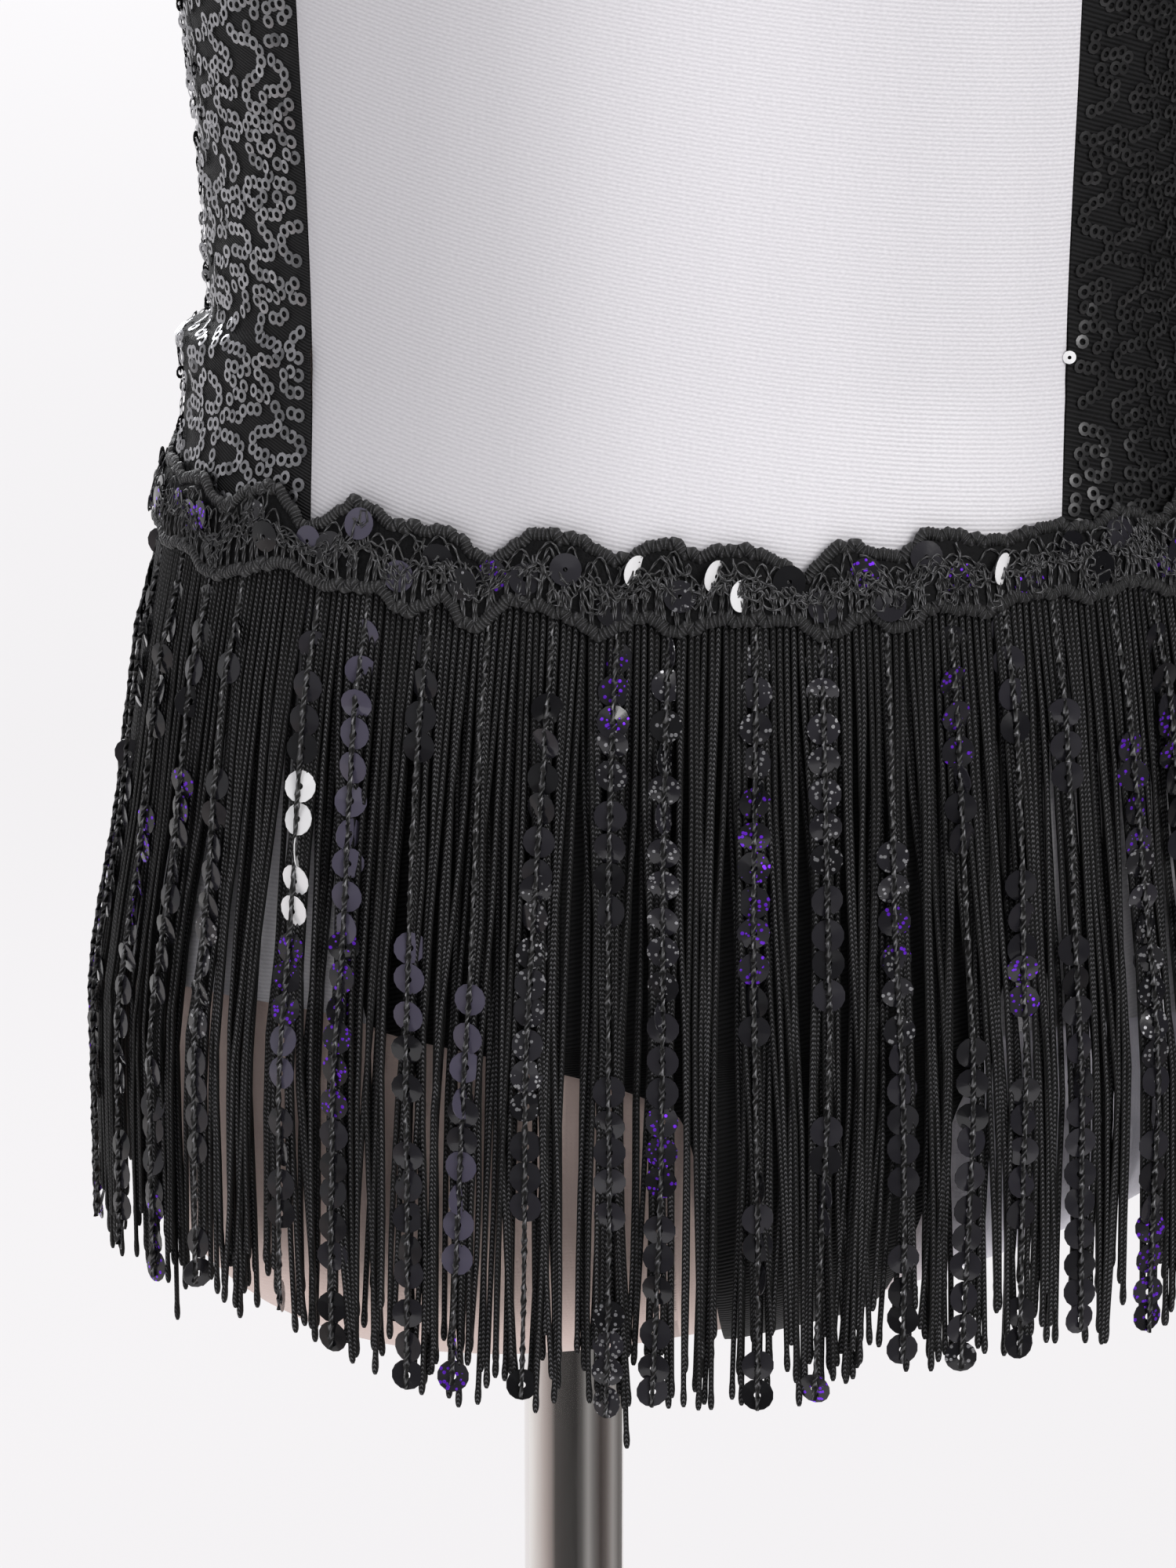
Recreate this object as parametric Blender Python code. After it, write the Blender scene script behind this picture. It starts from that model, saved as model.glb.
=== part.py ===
"""A Latin dance dress with a fringed hip, on a limbless dress form with a round-based stand.

Metres, +Z up.  The viewer stands at -Y.  The origin is the centre of the base plate's
underside, under the upright; the torso's own axis stands a little to +X of it.

Every cloth piece is a thin wall lifted off one torso surface: rounded rings above the hip
and a lopsided, closed underside below it.  A place on the upper torso is an angle about the
axis (0 in front, growing towards +X) and a height.  A place on the brief is its X and its
run: the height above the hip in front, which carries on under the torso and up behind.
"""

import math
from typing import NamedTuple

import bmesh
import bpy
import numpy as np

# Torso
TORSO_AXIS_X = 0.034
ROUNDNESS = 2.3
UNDERSIDE_ROUNDNESS = 3.3
HIP_HEIGHT = 0.805
NECK_TOP = 1.445
NECK_EDGE = 0.004
LOW_SIDE_DROP = 0.112
HIGH_SIDE_DROP = 0.037
DROP_TURN_X = 0.04
DROP_TURN_WIDTH = 0.145


class Section(NamedTuple):
    """The bare form's size at one height."""

    height: float
    half_width: float
    front: float
    back: float


SECTIONS = [
    Section(HIP_HEIGHT, 0.1550, 0.106, 0.116),
    Section(0.870, 0.1455, 0.102, 0.108),
    Section(0.952, 0.1370, 0.096, 0.098),
    Section(0.994, 0.1265, 0.090, 0.086),
    Section(1.040, 0.1290, 0.093, 0.087),
    Section(1.080, 0.1330, 0.098, 0.090),
    Section(1.120, 0.1370, 0.107, 0.093),
    Section(1.170, 0.1410, 0.119, 0.095),
    Section(1.215, 0.1460, 0.114, 0.097),
    Section(1.270, 0.1570, 0.098, 0.096),
    Section(1.315, 0.1700, 0.082, 0.088),
    Section(1.342, 0.1740, 0.068, 0.074),
    Section(1.358, 0.1630, 0.058, 0.063),
    Section(1.372, 0.1330, 0.051, 0.056),
    Section(1.386, 0.0970, 0.048, 0.052),
    Section(1.398, 0.0700, 0.047, 0.050),
    Section(1.412, 0.0580, 0.048, 0.050),
    Section(NECK_TOP, 0.0550, 0.049, 0.051),
]

# Cloth
FORM_INSET = 0.0010
CLOTH_CLEARANCE = 0.0010
CLOTH_THICKNESS = 0.0012
SEAM_GAP = 0.0003
HIP_SEAM_HEIGHT = 0.9460
HIP_SEAM_RISE = 0.0020
UNDERARM_HEIGHT = 1.215
SIDE_ANGLE = math.pi / 2
STRAP_INNER_X = 0.078
STRAP_OUTER_X = 0.126
BACK_STRAP_FOOT_X = 0.0755
NECKLINE_FRONT = 1.272
NECKLINE_CORNER = 1.290
NECKLINE_BACK = 1.290
NECKLINE_BACK_DIP = 0.014
SHOULDER_SHARES = [0.78, 0.55, 0.28, 0.0]


class Fold(NamedTuple):
    """A soft ruck of the bodice: where its crest lies, how far it spreads and how far it stands out."""

    angle: float
    height: float
    half_angle: float
    half_height: float
    depth: float


FOLDS = [
    Fold(-1.62, 0.985, 0.52, 0.016, 0.0070),
    Fold(1.66, 0.991, 0.46, 0.017, 0.0060),
    Fold(-1.95, 1.018, 0.50, 0.012, 0.0022),
    Fold(2.60, 0.980, 0.60, 0.014, 0.0030),
    Fold(-2.85, 1.004, 0.55, 0.014, 0.0026),
]

FOLD_TOP_STEEPNESS = 1.35
FOLD_FOOT_STEEPNESS = 0.90

# Heights of the bodice's rows, closest together where the waist folds
BODICE_ROWS = [
    0.956, 0.966, 0.974, 0.982, 0.990, 0.999, 1.010, 1.028,
    1.052, 1.082, 1.115, 1.150, 1.184, UNDERARM_HEIGHT,
]


class PanelEdge(NamedTuple):
    """Half the front panel's width at one height."""

    height: float
    x: float


PANEL_EDGES = [
    PanelEdge(0.830, 0.080),
    PanelEdge(0.850, 0.085),
    PanelEdge(0.900, 0.0915),
    PanelEdge(0.946, 0.0942),
    PanelEdge(1.000, 0.0942),
    PanelEdge(1.090, 0.0958),
    PanelEdge(1.180, 0.0965),
    PanelEdge(1.240, 0.0900),
    PanelEdge(NECKLINE_CORNER, 0.0820),
]


class StrapRow(NamedTuple):
    """A row across a shoulder strap: its neck end and its armhole end."""

    neck_height: float
    neck_x: float
    arm_height: float
    arm_x: float


class UnderarmStep(NamedTuple):
    """A place on the armhole's curve just above the side seam, and the height across from it."""

    neck_height: float
    arm_height: float
    arm_y: float


UNDERARM_STEPS = [
    UnderarmStep(1.2205, 1.2162, 0.016),
    UnderarmStep(1.2290, 1.2215, 0.031),
]

FRONT_STRAP_ROWS = [
    StrapRow(1.240, 0.0900, 1.2330, 0.1385),
    StrapRow(1.266, 0.0855, 1.256, 0.1310),
    StrapRow(NECKLINE_CORNER, 0.0820, 1.278, 0.1270),
    StrapRow(1.316, 0.0790, 1.303, 0.1245),
    StrapRow(1.341, 0.0770, 1.328, 0.1245),
    StrapRow(1.363, 0.0765, 1.348, 0.1250),
    StrapRow(1.381, 0.0770, 1.364, 0.1255),
]

BACK_STRAP_ROWS = [
    StrapRow(1.240, 0.0740, 1.238, 0.1400),
    StrapRow(1.264, 0.0720, 1.262, 0.1330),
    StrapRow(NECKLINE_BACK, 0.0715, 1.284, 0.1290),
    StrapRow(1.314, 0.0745, 1.306, 0.1265),
    StrapRow(1.339, 0.0765, 1.330, 0.1255),
    StrapRow(1.362, 0.0770, 1.349, 0.1255),
    StrapRow(1.381, 0.0775, 1.364, 0.1258),
]


class BriefRow(NamedTuple):
    """A row across the brief: its run from the front waist, and its two ends."""

    run: float
    left_x: float
    right_x: float


UNDER_RADIUS = 0.100
FRONT_LEG_TOP = 0.022
CROTCH_RUN = -0.1570
BRIEF_FRONT_ROWS = [
    BriefRow(FRONT_LEG_TOP, -0.0790, 0.0790),
    BriefRow(0.0165, -0.0460, 0.0770),
    BriefRow(0.0100, -0.0140, 0.0740),
    BriefRow(0.0030, 0.0010, 0.0710),
    BriefRow(-0.0080, 0.0050, 0.0680),
    BriefRow(-0.0240, 0.0080, 0.0630),
    BriefRow(-0.0450, 0.0100, 0.0560),
    BriefRow(-0.0700, 0.0110, 0.0490),
    BriefRow(-0.0950, 0.0110, 0.0460),
    BriefRow(-0.1250, 0.0110, 0.0450),
    BriefRow(CROTCH_RUN, 0.0110, 0.0450),
]

BRIEF_BACK_ROWS = [
    BriefRow(CROTCH_RUN, 0.0110, 0.0450),
    BriefRow(-0.1740, 0.0100, 0.0460),
    BriefRow(-0.1880, 0.0080, 0.0480),
    BriefRow(-0.2000, 0.0040, 0.0515),
    BriefRow(-0.2120, -0.0030, 0.0575),
    BriefRow(-0.2240, -0.0120, 0.0650),
    BriefRow(-0.2370, -0.0240, 0.0750),
    BriefRow(-0.2500, -0.0400, 0.0870),
    BriefRow(-0.2640, -0.0590, 0.1000),
    BriefRow(-0.2780, -0.0780, 0.1130),
    BriefRow(-0.2910, -0.0950, 0.1240),
    BriefRow(-0.3020, -0.1110, 0.1340),
    BriefRow(-0.3100, -0.1260, 0.1430),
    BriefRow(-0.3160, -0.1390, 0.1495),
    BriefRow(-0.3182, -0.1478, 0.1526),
    BriefRow(-0.3200, -0.1527, 0.1542),
]

# Heights above the hip of the rows of the brief's front, from the seam down, and of its back
BRIEF_FRONT_RISES = [0.120, 0.098, 0.075, 0.050, 0.034]
BRIEF_BACK_RISES = [0.007, 0.026, 0.050, 0.075, 0.100, 0.122]
SIDE_LEG_HEIGHT = HIP_HEIGHT + BRIEF_BACK_RISES[0]
SIDE_LEG_CREST = 0.006

# Fringe and its scalloped trim
TRIM_GAP = 0.0033
TRIM_THICKNESS = 0.0012
TRIM_CORD_THICKNESS = 0.0024
TRIM_CORD_HEIGHT = 0.0030
UPPER_EDGE = 0.9545
LOWER_EDGE = 0.9375
TRIM_COLUMNS = 144
TRIM_REPEATS = 3


class Scallop(NamedTuple):
    """One turning point of a scalloped edge, along the girth of one repeat and about its mean height."""

    at: float
    rise: float


SCALLOP_REPEAT = 0.268
UPPER_SCALLOPS = [
    Scallop(-0.134, -0.0020),
    Scallop(-0.124, 0.0030),
    Scallop(-0.115, 0.0055),
    Scallop(-0.102, -0.0020),
    Scallop(-0.087, 0.0055),
    Scallop(-0.076, 0.0015),
    Scallop(-0.061, 0.0010),
    Scallop(-0.050, -0.0050),
    Scallop(-0.037, 0.0025),
    Scallop(-0.025, 0.0010),
    Scallop(-0.016, -0.0030),
    Scallop(-0.003, 0.0015),
    Scallop(0.004, -0.0015),
    Scallop(0.014, 0.0000),
    Scallop(0.024, -0.0020),
    Scallop(0.032, -0.0070),
    Scallop(0.042, 0.0005),
    Scallop(0.057, -0.0025),
    Scallop(0.066, 0.0025),
    Scallop(0.084, -0.0005),
    Scallop(0.099, 0.0015),
    Scallop(0.110, 0.0000),
    Scallop(0.121, 0.0025),
    Scallop(0.134, -0.0020),
]
LOWER_SCALLOPS = [
    Scallop(-0.134, -0.0020),
    Scallop(-0.122, 0.0010),
    Scallop(-0.106, 0.0055),
    Scallop(-0.095, 0.0020),
    Scallop(-0.079, 0.0030),
    Scallop(-0.071, -0.0020),
    Scallop(-0.061, 0.0025),
    Scallop(-0.053, -0.0045),
    Scallop(-0.043, 0.0030),
    Scallop(-0.028, 0.0000),
    Scallop(-0.020, -0.0040),
    Scallop(-0.009, 0.0005),
    Scallop(0.000, -0.0030),
    Scallop(0.011, 0.0000),
    Scallop(0.030, 0.0000),
    Scallop(0.037, -0.0040),
    Scallop(0.049, 0.0010),
    Scallop(0.056, -0.0030),
    Scallop(0.066, 0.0020),
    Scallop(0.078, 0.0000),
    Scallop(0.089, 0.0030),
    Scallop(0.100, 0.0030),
    Scallop(0.107, 0.0005),
    Scallop(0.122, 0.0025),
    Scallop(0.134, -0.0020),
]

HEADING_TOP = 0.9470
HEADING_BOTTOM = 0.9410
HEADING_GAP = 0.0004
HEADING_THICKNESS = 0.0020
HEADING_COLUMNS = 84
FRINGE_SLOTS = 192
SLOTS_PER_STRAND = 4
ROOT_DEPTH = 0.0015
CORD_END = 0.7430
STRAND_END = 0.7340
CORD_END_SPREAD = 0.0070
STRAND_END_SPREAD = 0.0050
CORD_SIDES = 3
STRAND_SIDES = 4
FRINGE_SEED = 7


class Station(NamedTuple):
    """A lock's cross-section on its way down: height, distance from the form, width and thickness."""

    height: float
    stand_off: float
    width: float
    thickness: float


CORD_STATIONS = [
    Station(HEADING_BOTTOM + ROOT_DEPTH, 0.0037, 0.0026, 0.0014),
    Station(HIP_HEIGHT, 0.0062, 0.0034, 0.0026),
    Station(CORD_END, 0.0062, 0.0034, 0.0026),
]
STRAND_STATIONS = [
    Station(HEADING_BOTTOM + ROOT_DEPTH, 0.0037, 0.0024, 0.0014),
    Station(0.9290, 0.0043, 0.0026, 0.0014),
    Station(0.9080, 0.0094, 0.0070, 0.0016),
    Station(HIP_HEIGHT, 0.0106, 0.0076, 0.0016),
    Station(STRAND_END, 0.0106, 0.0076, 0.0016),
]

# Stand
POLE_RADIUS = 0.0140
POLE_SIDES = 24
FIT_GAP = 0.0003
POLE_TOP = 0.776
BORE_FOOT = 0.600
BASE_RADIUS = 0.170
BASE_THICKNESS = 0.006
BASE_EDGE = 0.002
BASE_SIDES = 56
SOCKET_RADIUS = 0.0255
SOCKET_TOP_RADIUS = 0.0195
SOCKET_HEIGHT = 0.030

# How finely each piece is divided
FRONT_COLUMNS = 10
SIDE_COLUMNS = 6
BACK_MIDDLE_COLUMNS = 10
BACK_STRAP_COLUMNS = 6
BRIEF_COLUMNS = 10
BRIEF_BACK_COLUMNS = 12
BRIEF_SIDE_COLUMNS = 5
GIRTH_SAMPLES = 2881
SHARP_DEGREES = 40
NORMAL_STEP = 0.0001
BISECTIONS = 40
RAY_REACH = 0.25

# The form's rings: slopes in degrees of the rays that find the underside, then heights, and
# how much wider than deep the ellipse is whose even steps give the columns
UNDERSIDE_SLOPES = [73, 56, 43, 31, 20, 10]
FORM_HEIGHTS = [
    HIP_HEIGHT, 0.842, 0.880, 0.920, 0.952, 0.975, 0.994, 1.016, 1.045,
    1.080, 1.115, 1.145, 1.170, 1.195, 1.220, 1.250, 1.280, 1.310, 1.330,
    1.343, 1.353, 1.362, 1.372, 1.382, 1.392, 1.405, NECK_TOP,
]
FORM_COLUMNS = 30
FORM_ASPECT = 1.5


class Finish(NamedTuple):
    """A material's look: linear colour, roughness and metallic value."""

    name: str
    colour: tuple
    roughness: float
    metallic: float


JERSEY = Finish("beige jersey", (0.42, 0.33, 0.28), 0.85, 0.0)
WHITE_SATIN = Finish("white satin twill", (0.80, 0.79, 0.81), 0.42, 0.0)
BLACK_TWILL = Finish("black stretch twill", (0.018, 0.018, 0.020), 0.55, 0.0)
SEQUIN_TWILL = Finish("black twill with small sequins", (0.05, 0.05, 0.055), 0.40, 0.0)
BLACK_LACE = Finish("black corded lace", (0.012, 0.012, 0.013), 0.60, 0.0)
BLACK_FRINGE = Finish("black chainette fringe", (0.014, 0.014, 0.016), 0.50, 0.0)
CHROME = Finish("chrome", (0.78, 0.76, 0.75), 0.12, 1.0)


def smooth_column(table, places, column, at):
    """A table's column read by a monotone cubic through its rows."""
    x = np.array([row[places] for row in table])
    y = np.array([row[column] for row in table])
    slope = np.diff(y) / np.diff(x)
    before, after = slope[:-1], slope[1:]
    tangent = np.zeros_like(y)
    rising = before * after > 0
    tangent[1:-1][rising] = 2 * before[rising] * after[rising] / (before + after)[rising]
    at = np.clip(at, x[0], x[-1])
    row = np.clip(np.searchsorted(x, at) - 1, 0, len(x) - 2)
    span = x[row + 1] - x[row]
    t = (at - x[row]) / span
    return (
        (2 * t**3 - 3 * t**2 + 1) * y[row]
        + (t**3 - 2 * t**2 + t) * span * tangent[row]
        + (3 * t**2 - 2 * t**3) * y[row + 1]
        + (t**3 - t**2) * span * tangent[row + 1]
    )


def half_width(height):
    """The bare form's half width at a height."""
    return smooth_column(SECTIONS, 0, 1, height)


def depth(height, y):
    """The bare form's depth at a height, in front for negative y and behind otherwise."""
    front = smooth_column(SECTIONS, 0, 2, height)
    back = smooth_column(SECTIONS, 0, 3, height)
    return np.where(np.asarray(y) < 0, front, back)


def drop(x):
    """How far the underside hangs below the hip: deep on the side of the upright, shallow on the other."""
    middle = (LOW_SIDE_DROP + HIGH_SIDE_DROP) / 2
    swing = (LOW_SIDE_DROP - HIGH_SIDE_DROP) / 2
    return middle - swing * np.tanh((x - DROP_TURN_X) / DROP_TURN_WIDTH)


def level(points):
    """Below zero inside the form, zero on its surface, above zero outside."""
    x, y, z = points[..., 0], points[..., 1], points[..., 2]
    ring = (np.abs(x) / half_width(z)) ** ROUNDNESS + (np.abs(y) / depth(z, y)) ** ROUNDNESS
    below = np.clip(HIP_HEIGHT - z, 0, None) / drop(x)
    return ring + below**UNDERSIDE_ROUNDNESS - 1


def outward(points):
    """Unit normals of the surfaces on which the level stays the same."""
    parts = []
    for axis in range(3):
        shift = np.zeros(3)
        shift[axis] = NORMAL_STEP
        parts.append(level(points + shift) - level(points - shift))
    normal = np.stack(parts, axis=-1)
    return normal / np.linalg.norm(normal, axis=-1, keepdims=True)


def lift(points, distance):
    """Points moved out from the form by a distance."""
    return points + outward(points) * np.asarray(distance)[..., None]


def at_angle(angle, height):
    """The form's surface at an angle about its axis and a height at or above the hip."""
    angle, height = np.broadcast_arrays(angle, height)
    sine, cosine = np.sin(angle), np.cos(angle)
    wide = np.abs(sine) / half_width(height)
    deep = np.abs(cosine) / depth(height, -cosine)
    radius = (wide**ROUNDNESS + deep**ROUNDNESS) ** (-1 / ROUNDNESS)
    return np.stack([radius * sine, -radius * cosine, height], axis=-1)


def depth_at(x, height, y_sign):
    """The y of the form's surface at an x and a height, on the side that y_sign names."""
    y_sign = np.broadcast_to(y_sign, np.shape(x))
    share = np.clip(1 - (np.abs(x) / half_width(height)) ** ROUNDNESS, 0, None)
    return y_sign * depth(height, y_sign) * share ** (1 / ROUNDNESS)


def width_at(y, height):
    """The x of the form's surface at a y and a height."""
    share = np.clip(1 - (np.abs(y) / depth(height, y)) ** ROUNDNESS, 0, None)
    return float(half_width(height) * share ** (1 / ROUNDNESS))


def angle_at(x, height, y_sign=-1.0):
    """The angle about the axis of the surface point at an x and a height."""
    return np.arctan2(x, -depth_at(x, height, y_sign))


def along_ray(centre, direction):
    """Where rays from inside the form meet its surface, found by halving the reach."""
    low = np.zeros(direction.shape[:-1])
    high = np.full(direction.shape[:-1], RAY_REACH)
    for _ in range(BISECTIONS):
        middle = (low + high) / 2
        inside = level(centre + direction * middle[..., None]) < 0
        low = np.where(inside, middle, low)
        high = np.where(inside, high, middle)
    return centre + direction * low[..., None]


def brief_point(x, run):
    """The form's surface at an x and a run: the height above the hip in front, then an arc under
    the torso about the line through its axis at hip height, then the height again behind."""
    x, run = np.broadcast_arrays(x, run)
    turn = np.clip(-run / UNDER_RADIUS, 0, math.pi)
    direction = np.stack([0 * x, -np.cos(turn), -np.sin(turn)], axis=-1)
    centre = np.stack([x, 0 * x, 0 * x + HIP_HEIGHT], axis=-1)
    under = along_ray(centre, direction)
    behind = run < -math.pi * UNDER_RADIUS
    rise = np.where(behind, -run - math.pi * UNDER_RADIUS, np.clip(run, 0, None))
    upper_y = depth_at(x, HIP_HEIGHT + rise, np.where(behind, 1.0, -1.0))
    upper = np.stack([x, upper_y, HIP_HEIGHT + rise], axis=-1)
    on_upper = (behind | (run > 0))[..., None]
    return np.where(on_upper, upper, under)


def fold_height(points):
    """How far the bodice stands out in its folds: each a smooth mound, steeper above than below."""
    angle = np.arctan2(points[..., 0], -points[..., 1])
    total = np.zeros(points.shape[:-1])
    for fold in FOLDS:
        aside = np.angle(np.exp(1j * (angle - fold.angle))) / fold.half_angle
        above = (points[..., 2] - fold.height) / fold.half_height
        above = np.where(above > 0, above * FOLD_TOP_STEEPNESS, above * FOLD_FOOT_STEEPNESS)
        total += fold.depth * np.exp(-(aside**2)) * np.exp(-(above**2))
    return total


def seam_height(angle):
    """The height of the seam round the hip, which the trim covers."""
    return HIP_SEAM_HEIGHT + HIP_SEAM_RISE * np.sin(angle) ** 2


def material_for(finish):
    """A Principled material with a finish's look."""
    material = bpy.data.materials.get(finish.name) or bpy.data.materials.new(finish.name)
    material.use_nodes = True
    shader = material.node_tree.nodes["Principled BSDF"]
    shader.inputs["Base Color"].default_value = (*finish.colour, 1.0)
    shader.inputs["Roughness"].default_value = finish.roughness
    shader.inputs["Metallic"].default_value = finish.metallic
    return material


def add_object(name, points, faces, finish, parent):
    """A mesh object from torso points and faces, with its normals facing out, on the torso's axis."""
    points = np.asarray(points, float).reshape(-1, 3)
    used = sorted({index for face in faces for index in face})
    place = {index: order for order, index in enumerate(used)}
    mesh = bpy.data.meshes.new(name)
    mesh.from_pydata(
        [tuple(points[index]) for index in used],
        [],
        [tuple(place[index] for index in face) for face in faces],
    )
    shape = bmesh.new()
    shape.from_mesh(mesh)
    bmesh.ops.recalc_face_normals(shape, faces=shape.faces)
    shape.to_mesh(mesh)
    shape.free()
    mesh.shade_smooth()
    mesh.set_sharp_from_angle(angle=math.radians(SHARP_DEGREES))
    mesh.materials.append(material_for(finish))
    made = bpy.data.objects.new(name, mesh)
    bpy.context.scene.collection.objects.link(made)
    made.parent = parent
    return made


def grid_faces(rows, columns, wrap_rows=False, wrap_columns=False, present=None):
    """The four corners of every cell of a grid of points, as an array with a row per face."""
    index = np.arange(rows * columns).reshape(rows, columns)
    if wrap_rows:
        index = np.vstack([index, index[:1]])
    if wrap_columns:
        index = np.hstack([index, index[:, :1]])
    corners = np.stack([index[:-1, :-1], index[:-1, 1:], index[1:, 1:], index[1:, :-1]], axis=-1)
    if present is None:
        present = np.ones(corners.shape[:2], bool)
    return corners[present]


def cloth_wall(name, skin, finish, parent, present=None, folded=False):
    """A closed wall over a grid of points of the form: an inner and an outer face and the rim."""
    fold = fold_height(skin) if folded else 0.0
    inner = lift(skin, CLOTH_CLEARANCE + fold)
    outer = lift(skin, CLOTH_CLEARANCE + CLOTH_THICKNESS + fold)
    rows, columns = skin.shape[:2]
    cells = grid_faces(rows, columns, present=present)
    under = rows * columns
    sides = {(int(a), int(b)) for cell in cells for a, b in zip(cell, np.roll(cell, -1))}
    rim = [(b, a, a + under, b + under) for a, b in sorted(sides) if (b, a) not in sides]
    faces = [tuple(map(int, cell)) for cell in cells]
    faces += [tuple(int(index) + under for index in cell[::-1]) for cell in cells]
    points = np.concatenate([outer.reshape(-1, 3), inner.reshape(-1, 3)])
    return add_object(name, points, faces + rim, finish, parent)


def closed_band(name, profile, finish, parent):
    """A closed hoop from a grid of points: rows go round its profile, columns round the torso."""
    rows, columns = profile.shape[:2]
    faces = grid_faces(rows, columns, wrap_rows=True, wrap_columns=True)
    return add_object(name, profile, [tuple(map(int, face)) for face in faces], finish, parent)


def between(start, end, count, gap_start=0.0, gap_end=0.0):
    """Columns of angles or places from one edge of a piece to the other, less its seam gaps."""
    share = np.linspace(0, 1, count + 1)
    low, high = np.asarray(start) + gap_start, np.asarray(end) - gap_end
    return low[..., None] * (1 - share) + high[..., None] * share


def half_seam(x, height):
    """Half the gap at an upright seam in front, as an angle about the axis."""
    return SEAM_GAP / 2 / np.hypot(x, depth_at(x, height, -1.0))


def side_seam(height):
    """The angle of the front pieces' edge at the side seam, less half the gap."""
    return SIDE_ANGLE - SEAM_GAP / 2 / half_width(height)


def front_panel(parent):
    """The white panel: from the hip seam to a scooped neckline, between its two upright seams."""
    rows = BODICE_ROWS + [step.neck_height for step in UNDERARM_STEPS]
    rows = np.array(rows + [1.240, 1.266, NECKLINE_CORNER])
    edge = smooth_column(PANEL_EDGES, 0, 1, rows)
    turn = angle_at(edge, rows) - half_seam(edge, rows)
    low_edge = smooth_column(PANEL_EDGES, 0, 1, HIP_SEAM_HEIGHT)
    low_turn = angle_at(low_edge, HIP_SEAM_HEIGHT) - half_seam(low_edge, HIP_SEAM_HEIGHT)
    angle = between(-np.append(low_turn, turn), np.append(low_turn, turn), FRONT_COLUMNS)
    height = np.broadcast_to(np.append(0.0, rows)[:, None], angle.shape).copy()
    height[0] = seam_height(angle[0]) + SEAM_GAP / 2
    across = np.linspace(-1, 1, FRONT_COLUMNS + 1)
    scoop = (NECKLINE_CORNER - NECKLINE_FRONT) * (1 - across**2)
    reach = np.clip((height[1:] - UNDERARM_HEIGHT) / (NECKLINE_CORNER - UNDERARM_HEIGHT), 0, 1)
    height[1:] -= scoop * reach
    cloth_wall("front_panel", at_angle(angle, height), WHITE_SATIN, parent)


def side_front(name, side, parent):
    """A black side front: from its panel seam to the side seam, and up into the shoulder strap."""
    rows = np.array([HIP_SEAM_HEIGHT] + BODICE_ROWS)
    edge = smooth_column(PANEL_EDGES, 0, 1, rows)
    inner = list(angle_at(edge, rows) + half_seam(edge, rows))
    outer = list(side_seam(rows))
    inner_height, outer_height = list(rows), list(rows)
    for step in UNDERARM_STEPS:
        x = float(smooth_column(PANEL_EDGES, 0, 1, step.neck_height))
        inner.append(angle_at(x, step.neck_height) + half_seam(x, step.neck_height))
        outer.append(math.atan2(width_at(-step.arm_y, step.arm_height), step.arm_y))
        inner_height.append(step.neck_height)
        outer_height.append(step.arm_height)
    for strap in FRONT_STRAP_ROWS:
        seamed = strap.neck_height < NECKLINE_CORNER + SEAM_GAP
        turn = half_seam(strap.neck_x, strap.neck_height) if seamed else 0.0
        inner.append(angle_at(strap.neck_x, strap.neck_height) + turn)
        outer.append(angle_at(strap.arm_x, strap.arm_height))
        inner_height.append(strap.neck_height)
        outer_height.append(strap.arm_height)
    top = FRONT_STRAP_ROWS[-1]
    for share in SHOULDER_SHARES:
        turn, rise = over_shoulder(STRAP_INNER_X, top.neck_height, share, -1.0)
        inner.append(turn)
        inner_height.append(rise)
        turn, rise = over_shoulder(STRAP_OUTER_X, top.arm_height, share, -1.0)
        outer.append(turn)
        outer_height.append(rise)
    angle = between(np.array(inner), np.array(outer), SIDE_COLUMNS)
    height = between(np.array(inner_height), np.array(outer_height), SIDE_COLUMNS)
    height[0] = seam_height(angle[0]) + SEAM_GAP / 2
    cloth_wall(name, at_angle(side * angle, height), SEQUIN_TWILL, parent, folded=True)


def over_shoulder(x, height, share, y_sign):
    """The angle and the height of the shoulder's surface at an x, where its y is a share of what it
    is at a lower height.  A share of 0 is the ridge, where the shoulder seam takes half its gap."""
    y = float(depth_at(x, height, y_sign)) * share
    y += y_sign * SEAM_GAP / 2 if share == 0 else 0
    low, high = height, NECK_TOP
    for _ in range(BISECTIONS):
        middle = (low + high) / 2
        inside = level(np.array([x, y, middle])) < 0
        low, high = (middle, high) if inside else (low, middle)
    return math.atan2(x, -y), low


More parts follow.
